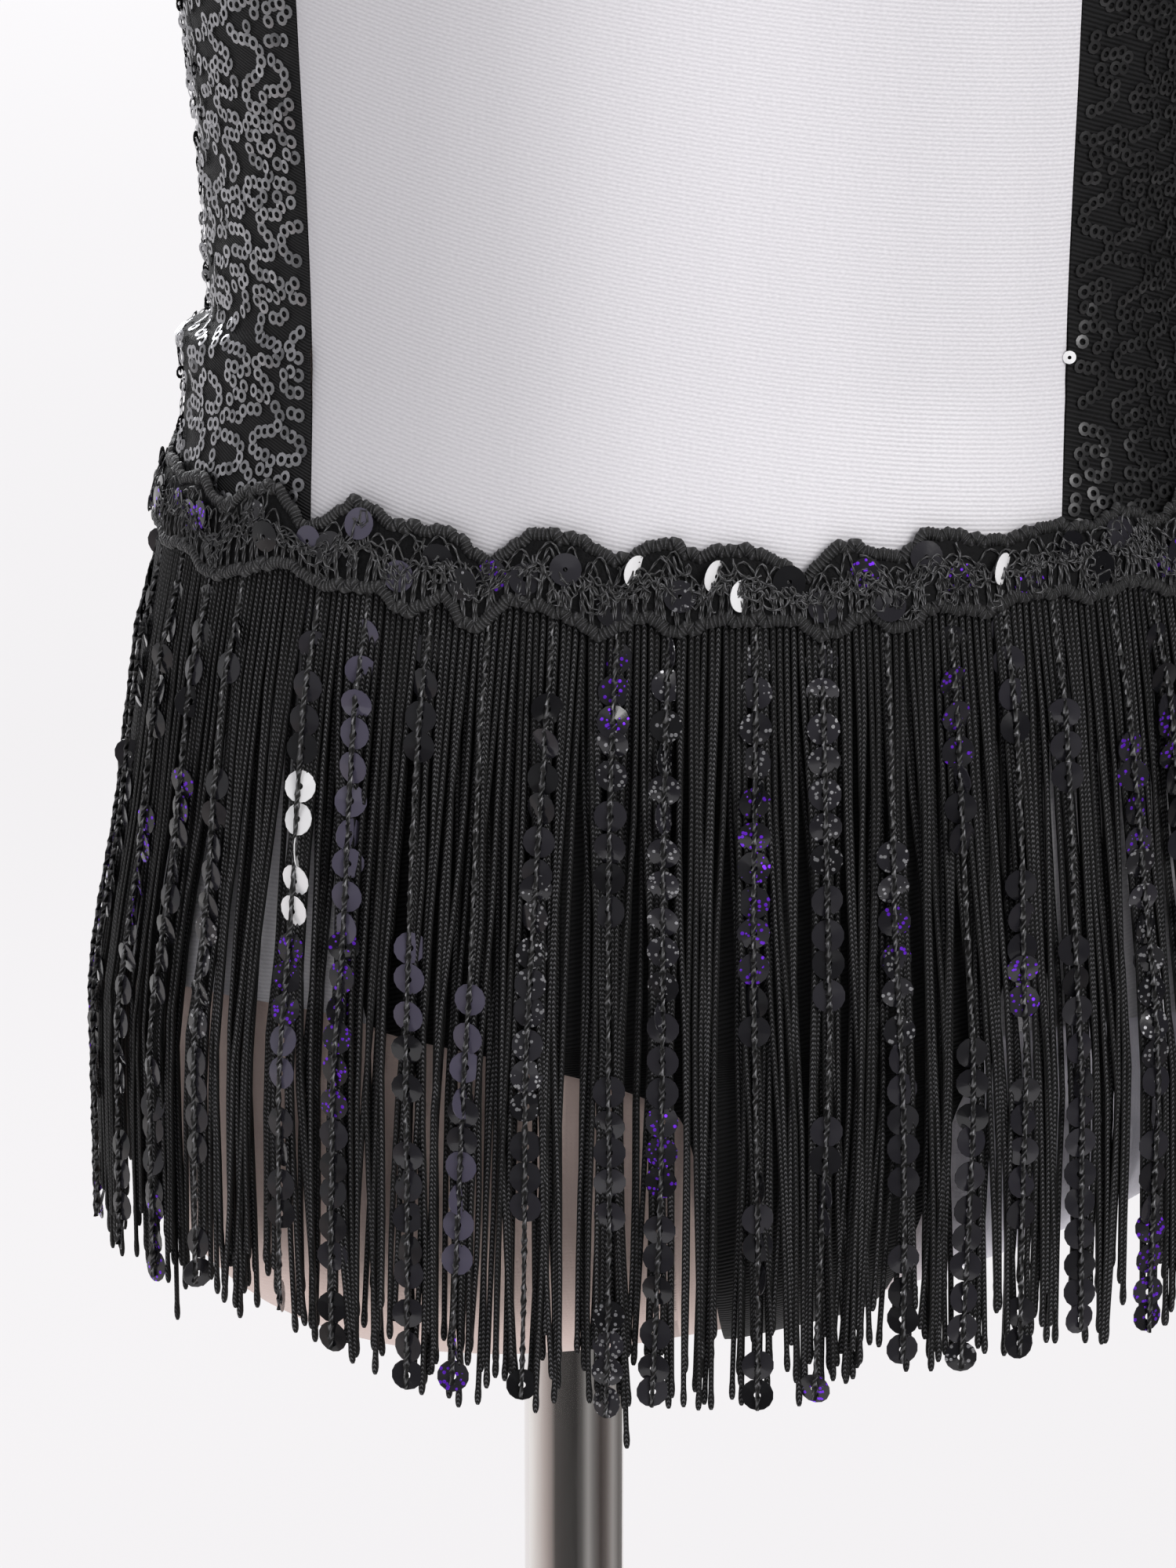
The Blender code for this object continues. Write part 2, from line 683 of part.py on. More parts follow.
def back_panel(parent):
    """The black back: one piece between the side seams, with an armhole each side and a neckline."""
    rows = np.array([HIP_SEAM_HEIGHT] + BODICE_ROWS)
    arm = list(side_seam(rows))
    neck = list(math.pi - angle_at(BACK_STRAP_FOOT_X, rows, 1.0))
    arm_height, neck_height = list(rows), list(rows)
    for step in UNDERARM_STEPS:
        arm.append(math.atan2(width_at(step.arm_y, step.arm_height), step.arm_y))
        neck.append(math.pi - angle_at(BACK_STRAP_FOOT_X, step.neck_height, 1.0))
        arm_height.append(step.arm_height)
        neck_height.append(step.neck_height)
    for strap in BACK_STRAP_ROWS:
        arm.append(math.pi - angle_at(strap.arm_x, strap.arm_height, 1.0))
        neck.append(math.pi - angle_at(strap.neck_x, strap.neck_height, 1.0))
        arm_height.append(strap.arm_height)
        neck_height.append(strap.neck_height)
    top = BACK_STRAP_ROWS[-1]
    for share in SHOULDER_SHARES:
        turn, rise = over_shoulder(STRAP_OUTER_X, top.arm_height, share, 1.0)
        arm.append(math.pi - turn)
        arm_height.append(rise)
        turn, rise = over_shoulder(STRAP_INNER_X, top.neck_height, share, 1.0)
        neck.append(math.pi - turn)
        neck_height.append(rise)
    arm, neck = np.array(arm), np.array(neck)
    arm_height, neck_height = np.array(arm_height), np.array(neck_height)

    left = between(-arm, -neck, BACK_STRAP_COLUMNS)
    middle = between(-neck, neck, BACK_MIDDLE_COLUMNS)
    right = between(neck, arm, BACK_STRAP_COLUMNS)
    from_back = np.hstack([left, middle[:, 1:-1], right])
    left_height = between(arm_height, neck_height, BACK_STRAP_COLUMNS)
    middle_height = between(neck_height, neck_height, BACK_MIDDLE_COLUMNS)
    across = np.linspace(-1, 1, BACK_MIDDLE_COLUMNS + 1)
    dip = NECKLINE_BACK_DIP * (1 - across**2)
    reach = np.clip((neck_height - UNDERARM_HEIGHT) / (NECKLINE_BACK - UNDERARM_HEIGHT), 0, 1)
    middle_height = middle_height - dip * reach[:, None]
    height = np.hstack([left_height, middle_height[:, 1:-1], left_height[:, ::-1]])
    angle = math.pi - from_back
    height[0] = seam_height(angle[0]) + SEAM_GAP / 2

    present = np.ones((height.shape[0] - 1, height.shape[1] - 1), bool)
    neck_row = len(rows) + len(UNDERARM_STEPS) + 2
    present[neck_row:, BACK_STRAP_COLUMNS:-BACK_STRAP_COLUMNS] = False
    cloth_wall("back_panel", at_angle(angle, height), SEQUIN_TWILL, parent, present, folded=True)


def brief_front(parent):
    """The black front of the brief, as wide as the panel above it and narrowing to the crotch."""
    runs, lefts, rights = [], [], []
    for run in BRIEF_FRONT_RISES:
        edge = float(smooth_column(PANEL_EDGES, 0, 1, HIP_HEIGHT + run)) - SEAM_GAP / 2
        runs.append(run)
        lefts.append(-edge)
        rights.append(edge)
    for row in BRIEF_FRONT_ROWS:
        runs.append(row.run)
        lefts.append(row.left_x + SEAM_GAP / 2)
        rights.append(row.right_x - SEAM_GAP / 2)
    top_edge = float(smooth_column(PANEL_EDGES, 0, 1, HIP_SEAM_HEIGHT)) - SEAM_GAP / 2
    x = between(np.array([-top_edge] + lefts), np.array([top_edge] + rights), BRIEF_COLUMNS)
    run = np.broadcast_to(np.array([0.0] + runs)[:, None], x.shape).copy()
    top_angle = angle_at(x[0], HIP_SEAM_HEIGHT)
    run[0] = seam_height(top_angle) - SEAM_GAP / 2 - HIP_HEIGHT
    run[-1] += SEAM_GAP / 2
    cloth_wall("brief_front", brief_point(x, run), BLACK_TWILL, parent)


def brief_side(name, side, parent):
    """A white side of the brief, from the front's seam to the side seam, cut high over the leg."""
    share = np.linspace(0, 1, len(BRIEF_FRONT_RISES) + 2)[:, None]
    across = np.linspace(0, 1, BRIEF_SIDE_COLUMNS + 1)
    seam_run = np.array([HIP_SEAM_HEIGHT - HIP_HEIGHT] + BRIEF_FRONT_RISES + [FRONT_LEG_TOP])
    seam_x = smooth_column(PANEL_EDGES, 0, 1, HIP_HEIGHT + seam_run)
    seam_x[-1] = abs(BRIEF_FRONT_ROWS[0].left_x)
    seam_angle = angle_at(seam_x, HIP_HEIGHT + seam_run) + half_seam(seam_x, HIP_HEIGHT + seam_run)
    side_run = seam_run[0] + (SIDE_LEG_HEIGHT - HIP_HEIGHT - seam_run[0]) * share[:, 0]
    angle = between(seam_angle, side_seam(HIP_HEIGHT + side_run), BRIEF_SIDE_COLUMNS)
    height = HIP_HEIGHT + between(seam_run, side_run, BRIEF_SIDE_COLUMNS)
    height += SIDE_LEG_CREST * share**2 * 4 * across * (1 - across)
    height[0] = seam_height(angle[0]) - SEAM_GAP / 2
    cloth_wall(name, at_angle(side * angle, height), WHITE_SATIN, parent)


def brief_back(parent):
    """The black back of the brief, from the crotch seam to the hip seam behind."""
    behind = -math.pi * UNDER_RADIUS
    runs = [row.run for row in BRIEF_BACK_ROWS]
    lefts = [row.left_x for row in BRIEF_BACK_ROWS]
    rights = [row.right_x for row in BRIEF_BACK_ROWS]
    for rise in BRIEF_BACK_RISES:
        reach = float(half_width(HIP_HEIGHT + rise))
        runs.append(behind - rise)
        lefts.append(-reach)
        rights.append(reach)
    reach = float(half_width(HIP_SEAM_HEIGHT))
    lefts, rights = np.array(lefts + [-reach]), np.array(rights + [reach])
    middle, half = (lefts + rights) / 2, (rights - lefts) / 2
    sweep = np.linspace(-math.pi / 2, math.pi / 2, BRIEF_BACK_COLUMNS + 1)
    sweep[[0, -1]] *= 1 - SEAM_GAP
    x = middle[:, None] + half[:, None] * np.sin(sweep)
    run = np.broadcast_to(np.array(runs + [0.0])[:, None], x.shape).copy()
    angle = angle_at(x[-1], HIP_SEAM_HEIGHT, 1.0)
    run[-1] = behind - (seam_height(angle) - SEAM_GAP / 2 - HIP_HEIGHT)
    run[0] -= SEAM_GAP / 2
    skin = brief_point(x, run)
    on_side = np.zeros(skin.shape[:2], bool)
    on_side[len(BRIEF_BACK_ROWS):, [0, -1]] = True
    skin[on_side, 1] += SEAM_GAP / 2
    cloth_wall("brief_back", skin, BLACK_TWILL, parent)


def girth_table(count):
    """Angles about the axis at even steps of girth round the hip seam, from the back, and the steps."""
    fine = np.linspace(-math.pi, math.pi, GIRTH_SAMPLES)
    ring = at_angle(fine, np.full_like(fine, HIP_SEAM_HEIGHT))
    length = np.append(0, np.cumsum(np.linalg.norm(np.diff(ring, axis=0), axis=1)))
    steps = np.arange(count) * length[-1] / count
    return np.interp(steps, length, fine), steps / length[-1]


def scallop_rise(table, share):
    """How far a scalloped edge stands above its mean at a share of the girth."""
    at = (share * TRIM_REPEATS % 1 - 0.5) * SCALLOP_REPEAT
    return smooth_column(table, 0, 1, at)


def trim_band(parent):
    """The scalloped lace band: a thin wall between two raised cords that run in waves."""
    angle, share = girth_table(TRIM_COLUMNS)
    upper = UPPER_EDGE + HIP_SEAM_RISE * np.sin(angle) ** 2 + scallop_rise(UPPER_SCALLOPS, share)
    lower = LOWER_EDGE + HIP_SEAM_RISE * np.sin(angle) ** 2 + scallop_rise(LOWER_SCALLOPS, share)
    half = TRIM_CORD_HEIGHT / 2
    flat = CLOTH_CLEARANCE + CLOTH_THICKNESS + TRIM_GAP
    thin, thick = flat + TRIM_THICKNESS, flat + TRIM_CORD_THICKNESS
    outline = [
        (lower - half, flat),
        (lower, thick),
        (lower + half, thin),
        (upper - half, thin),
        (upper, thick),
        (upper + half, flat),
    ]
    profile = np.stack([lift(at_angle(angle, height), reach) for height, reach in outline])
    closed_band("trim_band", profile, BLACK_LACE, parent)


def lock_rings(stations, angle, end_height, sides):
    """Cross-sections of every lock, station by station, hanging straight down from the hip."""
    rings = []
    for order, station in enumerate(stations):
        last = order == len(stations) - 1
        height = end_height if last else np.full_like(angle, station.height)
        if order == 0:
            height = height + HIP_SEAM_RISE * np.sin(angle) ** 2
        upper = np.maximum(height, HIP_HEIGHT)
        centre = lift(at_angle(angle, upper), station.stand_off)
        centre[:, 2] = height
        out = outward(at_angle(angle, upper))
        out[:, 2] = 0
        out /= np.linalg.norm(out, axis=1, keepdims=True)
        along = np.stack([-out[:, 1], out[:, 0], 0 * angle], axis=1)
        half_wide, half_thick = station.width / 2, station.thickness / 2
        corners = [(-half_wide, half_thick), (half_wide, half_thick)]
        if sides == CORD_SIDES:
            corners.append((0.0, -half_thick))
        else:
            corners += [(half_wide, -half_thick), (-half_wide, -half_thick)]
        rings.append([centre + along * wide + out * deep for wide, deep in corners])
    return np.transpose(np.array(rings), (2, 0, 1, 3))


def lock_faces(locks, stations, sides, first):
    """The side and end faces of locks whose points follow each other from index first."""
    side_faces = grid_faces(stations, sides, wrap_columns=True)
    faces = []
    for lock in range(locks):
        start = first + lock * stations * sides
        faces += [tuple(int(index) + start for index in face) for face in side_faces]
        faces.append(tuple(start + index for index in range(sides)))
        faces.append(tuple(start + (stations - 1) * sides + index for index in range(sides))[::-1])
    return faces


def fringe(parent):
    """The fringe: a narrow heading round the hip, with cords and sequin strands hanging from it."""
    chance = np.random.default_rng(FRINGE_SEED)
    angle, _ = girth_table(FRINGE_SLOTS)
    slot = np.arange(FRINGE_SLOTS)
    is_strand = slot % SLOTS_PER_STRAND == 0
    cord_angle, strand_angle = angle[~is_strand], angle[is_strand]
    cord_ends = CORD_END + CORD_END_SPREAD * chance.uniform(-1, 1, len(cord_angle))
    strand_ends = STRAND_END + STRAND_END_SPREAD * chance.uniform(-1, 1, len(strand_angle))
    cords = lock_rings(CORD_STATIONS, cord_angle, cord_ends, CORD_SIDES)
    strands = lock_rings(STRAND_STATIONS, strand_angle, strand_ends, STRAND_SIDES)
    points = np.concatenate([cords.reshape(-1, 3), strands.reshape(-1, 3)])
    faces = lock_faces(len(cord_angle), len(CORD_STATIONS), CORD_SIDES, 0)
    first = cords.size // 3
    faces += lock_faces(len(strand_angle), len(STRAND_STATIONS), STRAND_SIDES, first)
    locks = add_object("fringe_locks", points, faces, BLACK_FRINGE, parent)
    locks.hide_render = True
    locks.display_type = "WIRE"

    heading_angle, _ = girth_table(HEADING_COLUMNS)
    near = CLOTH_CLEARANCE + CLOTH_THICKNESS + HEADING_GAP
    far = near + HEADING_THICKNESS
    rise = HIP_SEAM_RISE * np.sin(heading_angle) ** 2
    outline = [
        (HEADING_BOTTOM + rise, near),
        (HEADING_BOTTOM + rise, far),
        (HEADING_TOP + rise, far),
        (HEADING_TOP + rise, near),
    ]
    profile = np.stack([lift(at_angle(heading_angle, height), reach) for height, reach in outline])
    heading = closed_band("fringe", profile, BLACK_FRINGE, parent)
    joining = heading.modifiers.new("locks", "BOOLEAN")
    joining.operation = "UNION"
    joining.solver = "EXACT"
    joining.object = locks


def underside(slope, angle):
    """The underside's surface along rays from the axis at hip height, tilted down by a slope."""
    level_x, level_y = np.sin(angle) * np.cos(slope), -np.cos(angle) * np.cos(slope)
    direction = np.stack([level_x, level_y, 0 * angle - np.sin(slope)], axis=-1)
    return along_ray(np.array([0.0, 0.0, HIP_HEIGHT]), direction)


def bore(target, foot, top):
    """Cuts the upright's hole, with its fit gap, into an object from one height to another."""
    bpy.ops.mesh.primitive_cylinder_add(
        vertices=POLE_SIDES,
        radius=POLE_RADIUS + FIT_GAP,
        depth=top - foot,
        location=(0, 0, (foot + top) / 2),
    )
    cutter = bpy.context.active_object
    cutter.name = target.name + "_bore"
    cutter.hide_render = True
    cutter.display_type = "WIRE"
    cutting = target.modifiers.new("bore", "BOOLEAN")
    cutting.operation = "DIFFERENCE"
    cutting.solver = "EXACT"
    cutting.object = cutter


def form_body(parent):
    """The dress form: a smooth closed torso with a hole in its underside for the upright."""
    step = np.arange(FORM_COLUMNS) * 2 * math.pi / FORM_COLUMNS
    angle = np.arctan2(FORM_ASPECT * np.sin(step), np.cos(step))
    lowest = lift(underside(math.pi / 2, np.zeros(1)), -FORM_INSET)
    rings = [underside(math.radians(slope), angle) for slope in UNDERSIDE_SLOPES]
    rings += [at_angle(angle, np.full_like(angle, height)) for height in FORM_HEIGHTS]
    rings = [lift(ring, -FORM_INSET) for ring in rings]
    cap = rings[-1].copy()
    cap[:, :2] *= 1 - NECK_EDGE / SECTIONS[-1].half_width
    cap[:, 2] += NECK_EDGE
    rings.append(cap)
    stack = np.stack(rings)
    count = len(rings) * FORM_COLUMNS
    faces = [tuple(map(int, face)) for face in grid_faces(len(rings), FORM_COLUMNS, wrap_columns=True)]
    faces += [(count, (column + 1) % FORM_COLUMNS, column) for column in range(FORM_COLUMNS)]
    faces.append(tuple(range(count - FORM_COLUMNS, count)))
    points = np.vstack([stack.reshape(-1, 3), lowest])
    form = add_object("form_body", points, faces, JERSEY, parent)
    bore(form, BORE_FOOT, POLE_TOP + FIT_GAP)


def turned(name, profile, sides, finish):
    """A solid of revolution about the upright from a profile of radius and height, bottom to top."""
    angle = np.arange(sides) * 2 * math.pi / sides
    rings = [
        np.stack([radius * np.cos(angle), radius * np.sin(angle), 0 * angle + height], axis=-1)
        for radius, height in profile
    ]
    faces = [tuple(map(int, face)) for face in grid_faces(len(rings), sides, wrap_columns=True)]
    faces.append(tuple(range(sides)))
    top = (len(rings) - 1) * sides
    faces.append(tuple(range(top, top + sides)))
    return add_object(name, np.stack(rings), faces, finish, None)


def stand():
    """The stand: a round base plate, a conical socket on it and the upright."""
    turned(
        "base_plate",
        [
            (BASE_RADIUS - BASE_EDGE / 2, 0.0),
            (BASE_RADIUS, BASE_EDGE / 2),
            (BASE_RADIUS, BASE_THICKNESS - BASE_EDGE),
            (BASE_RADIUS - BASE_EDGE, BASE_THICKNESS),
        ],
        BASE_SIDES,
        CHROME,
    )
    socket_floor = BASE_THICKNESS + FIT_GAP
    socket = turned(
        "pole_socket",
        [
            (SOCKET_RADIUS, socket_floor),
            (SOCKET_RADIUS, socket_floor + BASE_EDGE),
            (SOCKET_TOP_RADIUS, socket_floor + SOCKET_HEIGHT - BASE_EDGE),
            (SOCKET_TOP_RADIUS - BASE_EDGE / 2, socket_floor + SOCKET_HEIGHT),
        ],
        POLE_SIDES,
        CHROME,
    )
    bore(socket, 0.0, 2 * SOCKET_HEIGHT)
    turned("pole", [(POLE_RADIUS, socket_floor), (POLE_RADIUS, POLE_TOP)], POLE_SIDES, CHROME)


def main():
    """Clears the scene and builds every piece."""
    for old in list(bpy.data.objects):
        bpy.data.objects.remove(old)
    torso = bpy.data.objects.new("torso_axis", None)
    torso.location.x = TORSO_AXIS_X
    bpy.context.scene.collection.objects.link(torso)
    stand()
    form_body(torso)
    front_panel(torso)
    side_front("side_front_left", -1, torso)
    side_front("side_front_right", 1, torso)
    back_panel(torso)
    brief_front(torso)
    brief_side("brief_side_left", -1, torso)
    brief_side("brief_side_right", 1, torso)
    brief_back(torso)
    fringe(torso)
    trim_band(torso)


main()
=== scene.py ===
"""The looks of a Latin dance dress on its dress form: cloth, sequins, lace trim, fringe and stand.

Metres, +Z up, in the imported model's frame.  The dress faces -Y.  Every cloth piece lies on one
torso surface, which is a family of rounded rings above the hip and a closed, lopsided underside
below it.  A place on the upper torso is an angle about its axis (0 in front, growing towards
+X) and a height.  Surfaces are worked out as whole arrays of points.
"""

import logging
import math
from dataclasses import dataclass
from enum import Enum
from functools import cached_property
from typing import NamedTuple

import bpy
import numpy as np
from mathutils import Matrix, Vector


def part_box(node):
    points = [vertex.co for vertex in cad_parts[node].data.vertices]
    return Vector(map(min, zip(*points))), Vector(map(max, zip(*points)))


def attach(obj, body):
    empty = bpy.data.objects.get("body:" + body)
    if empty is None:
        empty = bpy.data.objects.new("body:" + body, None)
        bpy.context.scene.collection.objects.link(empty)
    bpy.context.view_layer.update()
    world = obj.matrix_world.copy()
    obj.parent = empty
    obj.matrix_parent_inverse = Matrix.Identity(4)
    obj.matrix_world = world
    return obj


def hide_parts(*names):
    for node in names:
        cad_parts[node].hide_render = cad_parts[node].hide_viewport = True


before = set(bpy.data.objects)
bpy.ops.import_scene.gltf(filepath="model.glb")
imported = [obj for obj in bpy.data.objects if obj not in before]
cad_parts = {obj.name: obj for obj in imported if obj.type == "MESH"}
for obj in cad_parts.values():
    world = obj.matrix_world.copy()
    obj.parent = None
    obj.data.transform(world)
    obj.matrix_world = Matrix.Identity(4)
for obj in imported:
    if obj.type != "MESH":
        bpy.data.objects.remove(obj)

Array = np.ndarray
Made = bpy.types.Object
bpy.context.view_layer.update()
BODY = "root"
LOG = logging.getLogger("dress")
TAU = 2 * math.pi
UP = np.array([0.0, 0.0, 1.0])
FLAT_STEP = 0.0137  # how far apart two sequins lie in the flat pattern space


# ---- arrays and meshes


def smooth_curve(x: Array, y: Array, at: Array) -> Array:
    """A curve through points that never overshoots.

    Between two points it is the cubic that takes the harmonic mean of the slopes on either
    side of each point as its own slope there, and no slope at a turning point.

    Args:
        x: places, growing, one for each row of y.
        y: one value, or a row of values, for each place.
        at: the places to read.

    Returns:
        The curve's value, or row of values, at each place.
    """
    x, y, at = np.asarray(x, float), np.asarray(y, float), np.asarray(at, float)
    rows = y.reshape(len(x), -1)
    slope = np.diff(rows, axis=0) / np.diff(x)[:, None]
    product = slope[:-1] * slope[1:]
    total = np.where(product > 0, slope[:-1] + slope[1:], 1.0)
    tangent = np.zeros_like(rows)
    tangent[1:-1] = np.where(product > 0, 2 * product / total, 0.0)
    place = np.clip(at, x[0], x[-1])
    row = np.clip(np.searchsorted(x, place) - 1, 0, len(x) - 2)
    span = (x[row + 1] - x[row])[..., None]
    t = (place - x[row])[..., None] / span
    value = (
        (2 * t**3 - 3 * t**2 + 1) * rows[row]
        + (t**3 - 2 * t**2 + t) * span * tangent[row]
        + (3 * t**2 - 2 * t**3) * rows[row + 1]
        + (t**3 - t**2) * span * tangent[row + 1]
    )
    return value.reshape(place.shape + y.shape[1:])


def refine(values: Array, factor: int) -> Array:
    """A table's rows with smooth rows put between them, so that each step becomes several."""
    places = np.linspace(0, len(values) - 1, (len(values) - 1) * factor + 1)
    return smooth_curve(np.arange(len(values)), values, places)


def unit(vectors: Array) -> Array:
    """Vectors made one long."""
    return vectors / np.maximum(np.linalg.norm(vectors, axis=-1, keepdims=True), 1e-12)


def grid_quads(rows: int, columns: int, wrap_rows: bool = False, wrap_columns: bool = False) -> Array:
    """The cells of a grid of points, as an array of (cell row, cell column, four corners)."""
    index = np.arange(rows * columns).reshape(rows, columns)
    if wrap_rows:
        index = np.vstack([index, index[:1]])
    if wrap_columns:
        index = np.hstack([index, index[:, :1]])
    return np.stack([index[:-1, :-1], index[:-1, 1:], index[1:, 1:], index[1:, :-1]], axis=-1)


def sample(grid: Array, row: Array, column: Array) -> Array:
    """A grid read between its points, each value the weighted mean of the four around it."""
    row = np.clip(row, 0, grid.shape[0] - 1.001)
    column = np.clip(column, 0, grid.shape[1] - 1.001)
    low_row, low_column = row.astype(int), column.astype(int)
    up, over = (row - low_row)[..., None], (column - low_column)[..., None]
    near = grid[low_row, low_column] * (1 - over) + grid[low_row, low_column + 1] * over
    far = grid[low_row + 1, low_column] * (1 - over) + grid[low_row + 1, low_column + 1] * over
    return near * (1 - up) + far * up


def ring_turns(sides: int) -> Array:
    """Angles evenly spaced round a circle."""
    return np.arange(sides) * TAU / sides


@dataclass
class Part:
    """Points and faces, with a flat place in metres, a tint and a kind for each point."""

    points: Array
    faces: list[Array]
    flat: Array
    tint: Array
    kind: Array

    @classmethod
    def of(cls, points: Array, faces: list, flat: Array = None, tint: Array = 0.5,
           kind: Array = 0.0) -> "Part":
        """A part from arrays of any shape.

        Args:
            points: places, ending in an axis of 3.
            faces: index arrays, ending in an axis of a face's corners.
            flat: places on the flat cloth in metres, ending in an axis of 2.
            tint: a value for each point, or one for all, that shifts its colour.
            kind: a value for each point, or one for all, that picks its finish.

        Returns:
            The part.
        """
        points = np.asarray(points, float).reshape(-1, 3)
        count = len(points)
        flat = np.zeros((count, 2)) if flat is None else np.asarray(flat, float).reshape(-1, 2)
        shades = (np.asarray(value, float).reshape(-1) for value in (tint, kind))
        tint, kind = (np.broadcast_to(value, (count,)).copy() for value in shades)
        faces = [np.asarray(face, int).reshape(-1, np.shape(face)[-1]) for face in faces]
        return cls(points, faces, flat, tint, kind)

    @classmethod
    def joined(cls, parts: list["Part"]) -> "Part":
        """Several parts as one."""
        starts = np.cumsum([0] + [len(part.points) for part in parts[:-1]])
        faces = [face + start for part, start in zip(parts, starts) for face in part.faces]
        rest = zip(*((part.points, part.flat, part.tint, part.kind) for part in parts))
        points, flat, tint, kind = (np.concatenate(values) for values in rest)
        return cls(points, faces, flat, tint, kind)

    def build(self, name: str, finish: "Finish", slot: str, sharp: float = 50.0) -> Made:
        """Makes the mesh object at the origin, dresses it and lets it ride on the one body.

        Args:
            name: the piece's name.
            finish: what it is made of.
            slot: the record's material slot; not used.
            sharp: the angle in degrees past which an edge is shaded sharp.

        Returns:
            The object.
        """
        mesh = bpy.data.meshes.new(name)
        mesh.vertices.add(len(self.points))
        mesh.vertices.foreach_set("co", self.points.astype(np.float32).ravel())
        corners = np.concatenate([face.ravel() for face in self.faces])
        sizes = np.concatenate([np.full(len(face), face.shape[1]) for face in self.faces])
        mesh.loops.add(len(corners))
        mesh.loops.foreach_set("vertex_index", corners.astype(np.int32))
        mesh.polygons.add(len(sizes))
        mesh.polygons.foreach_set("loop_start", (np.cumsum(sizes) - sizes).astype(np.int32))
        mesh.update(calc_edges=True)
        flat = self.flat[corners].astype(np.float32).ravel()
        mesh.uv_layers.new(name="flat").uv.foreach_set("vector", flat)
        for label, values in (("tint", self.tint), ("kind", self.kind)):
            attribute = mesh.attributes.new(label, "FLOAT", "POINT")
            attribute.data.foreach_set("value", values.astype(np.float32))
        mesh.shade_smooth()
        mesh.set_sharp_from_angle(angle=math.radians(sharp))
        mesh.materials.append(finish.material)
        made = bpy.data.objects.new(name, mesh)
        bpy.context.scene.collection.objects.link(made)
        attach(made, BODY)
        LOG.info("%s: %d triangles", name, int((sizes - 2).sum()))
        return made


def tubes(paths: Array, out: Array, radius: Array, sides: int, flatness: float = 1.0,
          twist: Array = 0.0, tint: Array = 0.5, closed: bool = False) -> Part:
    """Many tubes at once, each an ellipse carried along a path.

    A ring's point is centre + radius (flatness cos(turn) outward + sin(turn) across), where
    across is the path's direction turned a right angle from outward.  The flat place holds
    how far round from the front a point is, 0 to 1, and how far along the path it is.

    Args:
        paths: (tube, station, 3) centres.
        out: (tube, station, 3) directions that each tube's front faces.
        radius: half the width at each station.
        sides: points round a ring.
        flatness: depth over width.
        twist: turns of the ring about the path, in radians, at each station.
        tint: a value for each station.
        closed: whether each path ends where it starts.

    Returns:
        The tubes, with flat ends unless they are closed.
    """
    count, stations = paths.shape[:2]
    if closed:
        ahead, behind = np.roll(paths, -1, axis=1), np.roll(paths, 1, axis=1)
        tangent = unit(ahead - behind)
        step = np.linalg.norm(ahead - paths, axis=2)
        along = np.cumsum(step, axis=1) - step
    else:
        tangent = unit(np.gradient(paths, axis=1))
        step = np.linalg.norm(np.diff(paths, axis=1), axis=2)
        along = np.concatenate([np.zeros((count, 1)), np.cumsum(step, axis=1)], axis=1)
    across = unit(np.cross(tangent, out))
    front = np.cross(across, tangent)
    turn = ring_turns(sides)
    radius, twist, tint = (
        np.broadcast_to(value, (count, stations))[..., None] for value in (radius, twist, tint)
    )
    deep, wide = radius * flatness * np.cos(turn), radius * np.sin(turn)
    deep, wide = deep * np.cos(twist) - wide * np.sin(twist), deep * np.sin(twist) + wide * np.cos(twist)
    points = paths[:, :, None] + front[:, :, None] * deep[..., None] + across[:, :, None] * wide[..., None]
    from_front = np.broadcast_to(np.abs(np.angle(np.exp(1j * turn))) / math.pi, points.shape[:3])
    flat = np.stack([from_front, np.broadcast_to(along[..., None], points.shape[:3])], axis=-1)
    tint = np.broadcast_to(tint, points.shape[:3])
    ring = grid_quads(stations, sides, wrap_rows=closed, wrap_columns=True).reshape(-1, 4)
    starts = np.arange(count)[:, None, None] * stations * sides
    faces = [(starts + ring).reshape(-1, 4)]
    if not closed:
        low = np.arange(sides)[::-1]
        faces += [starts[:, 0] + low, starts[:, 0] + (stations - 1) * sides + low[::-1]]
    return Part.of(points, faces, flat, tint)


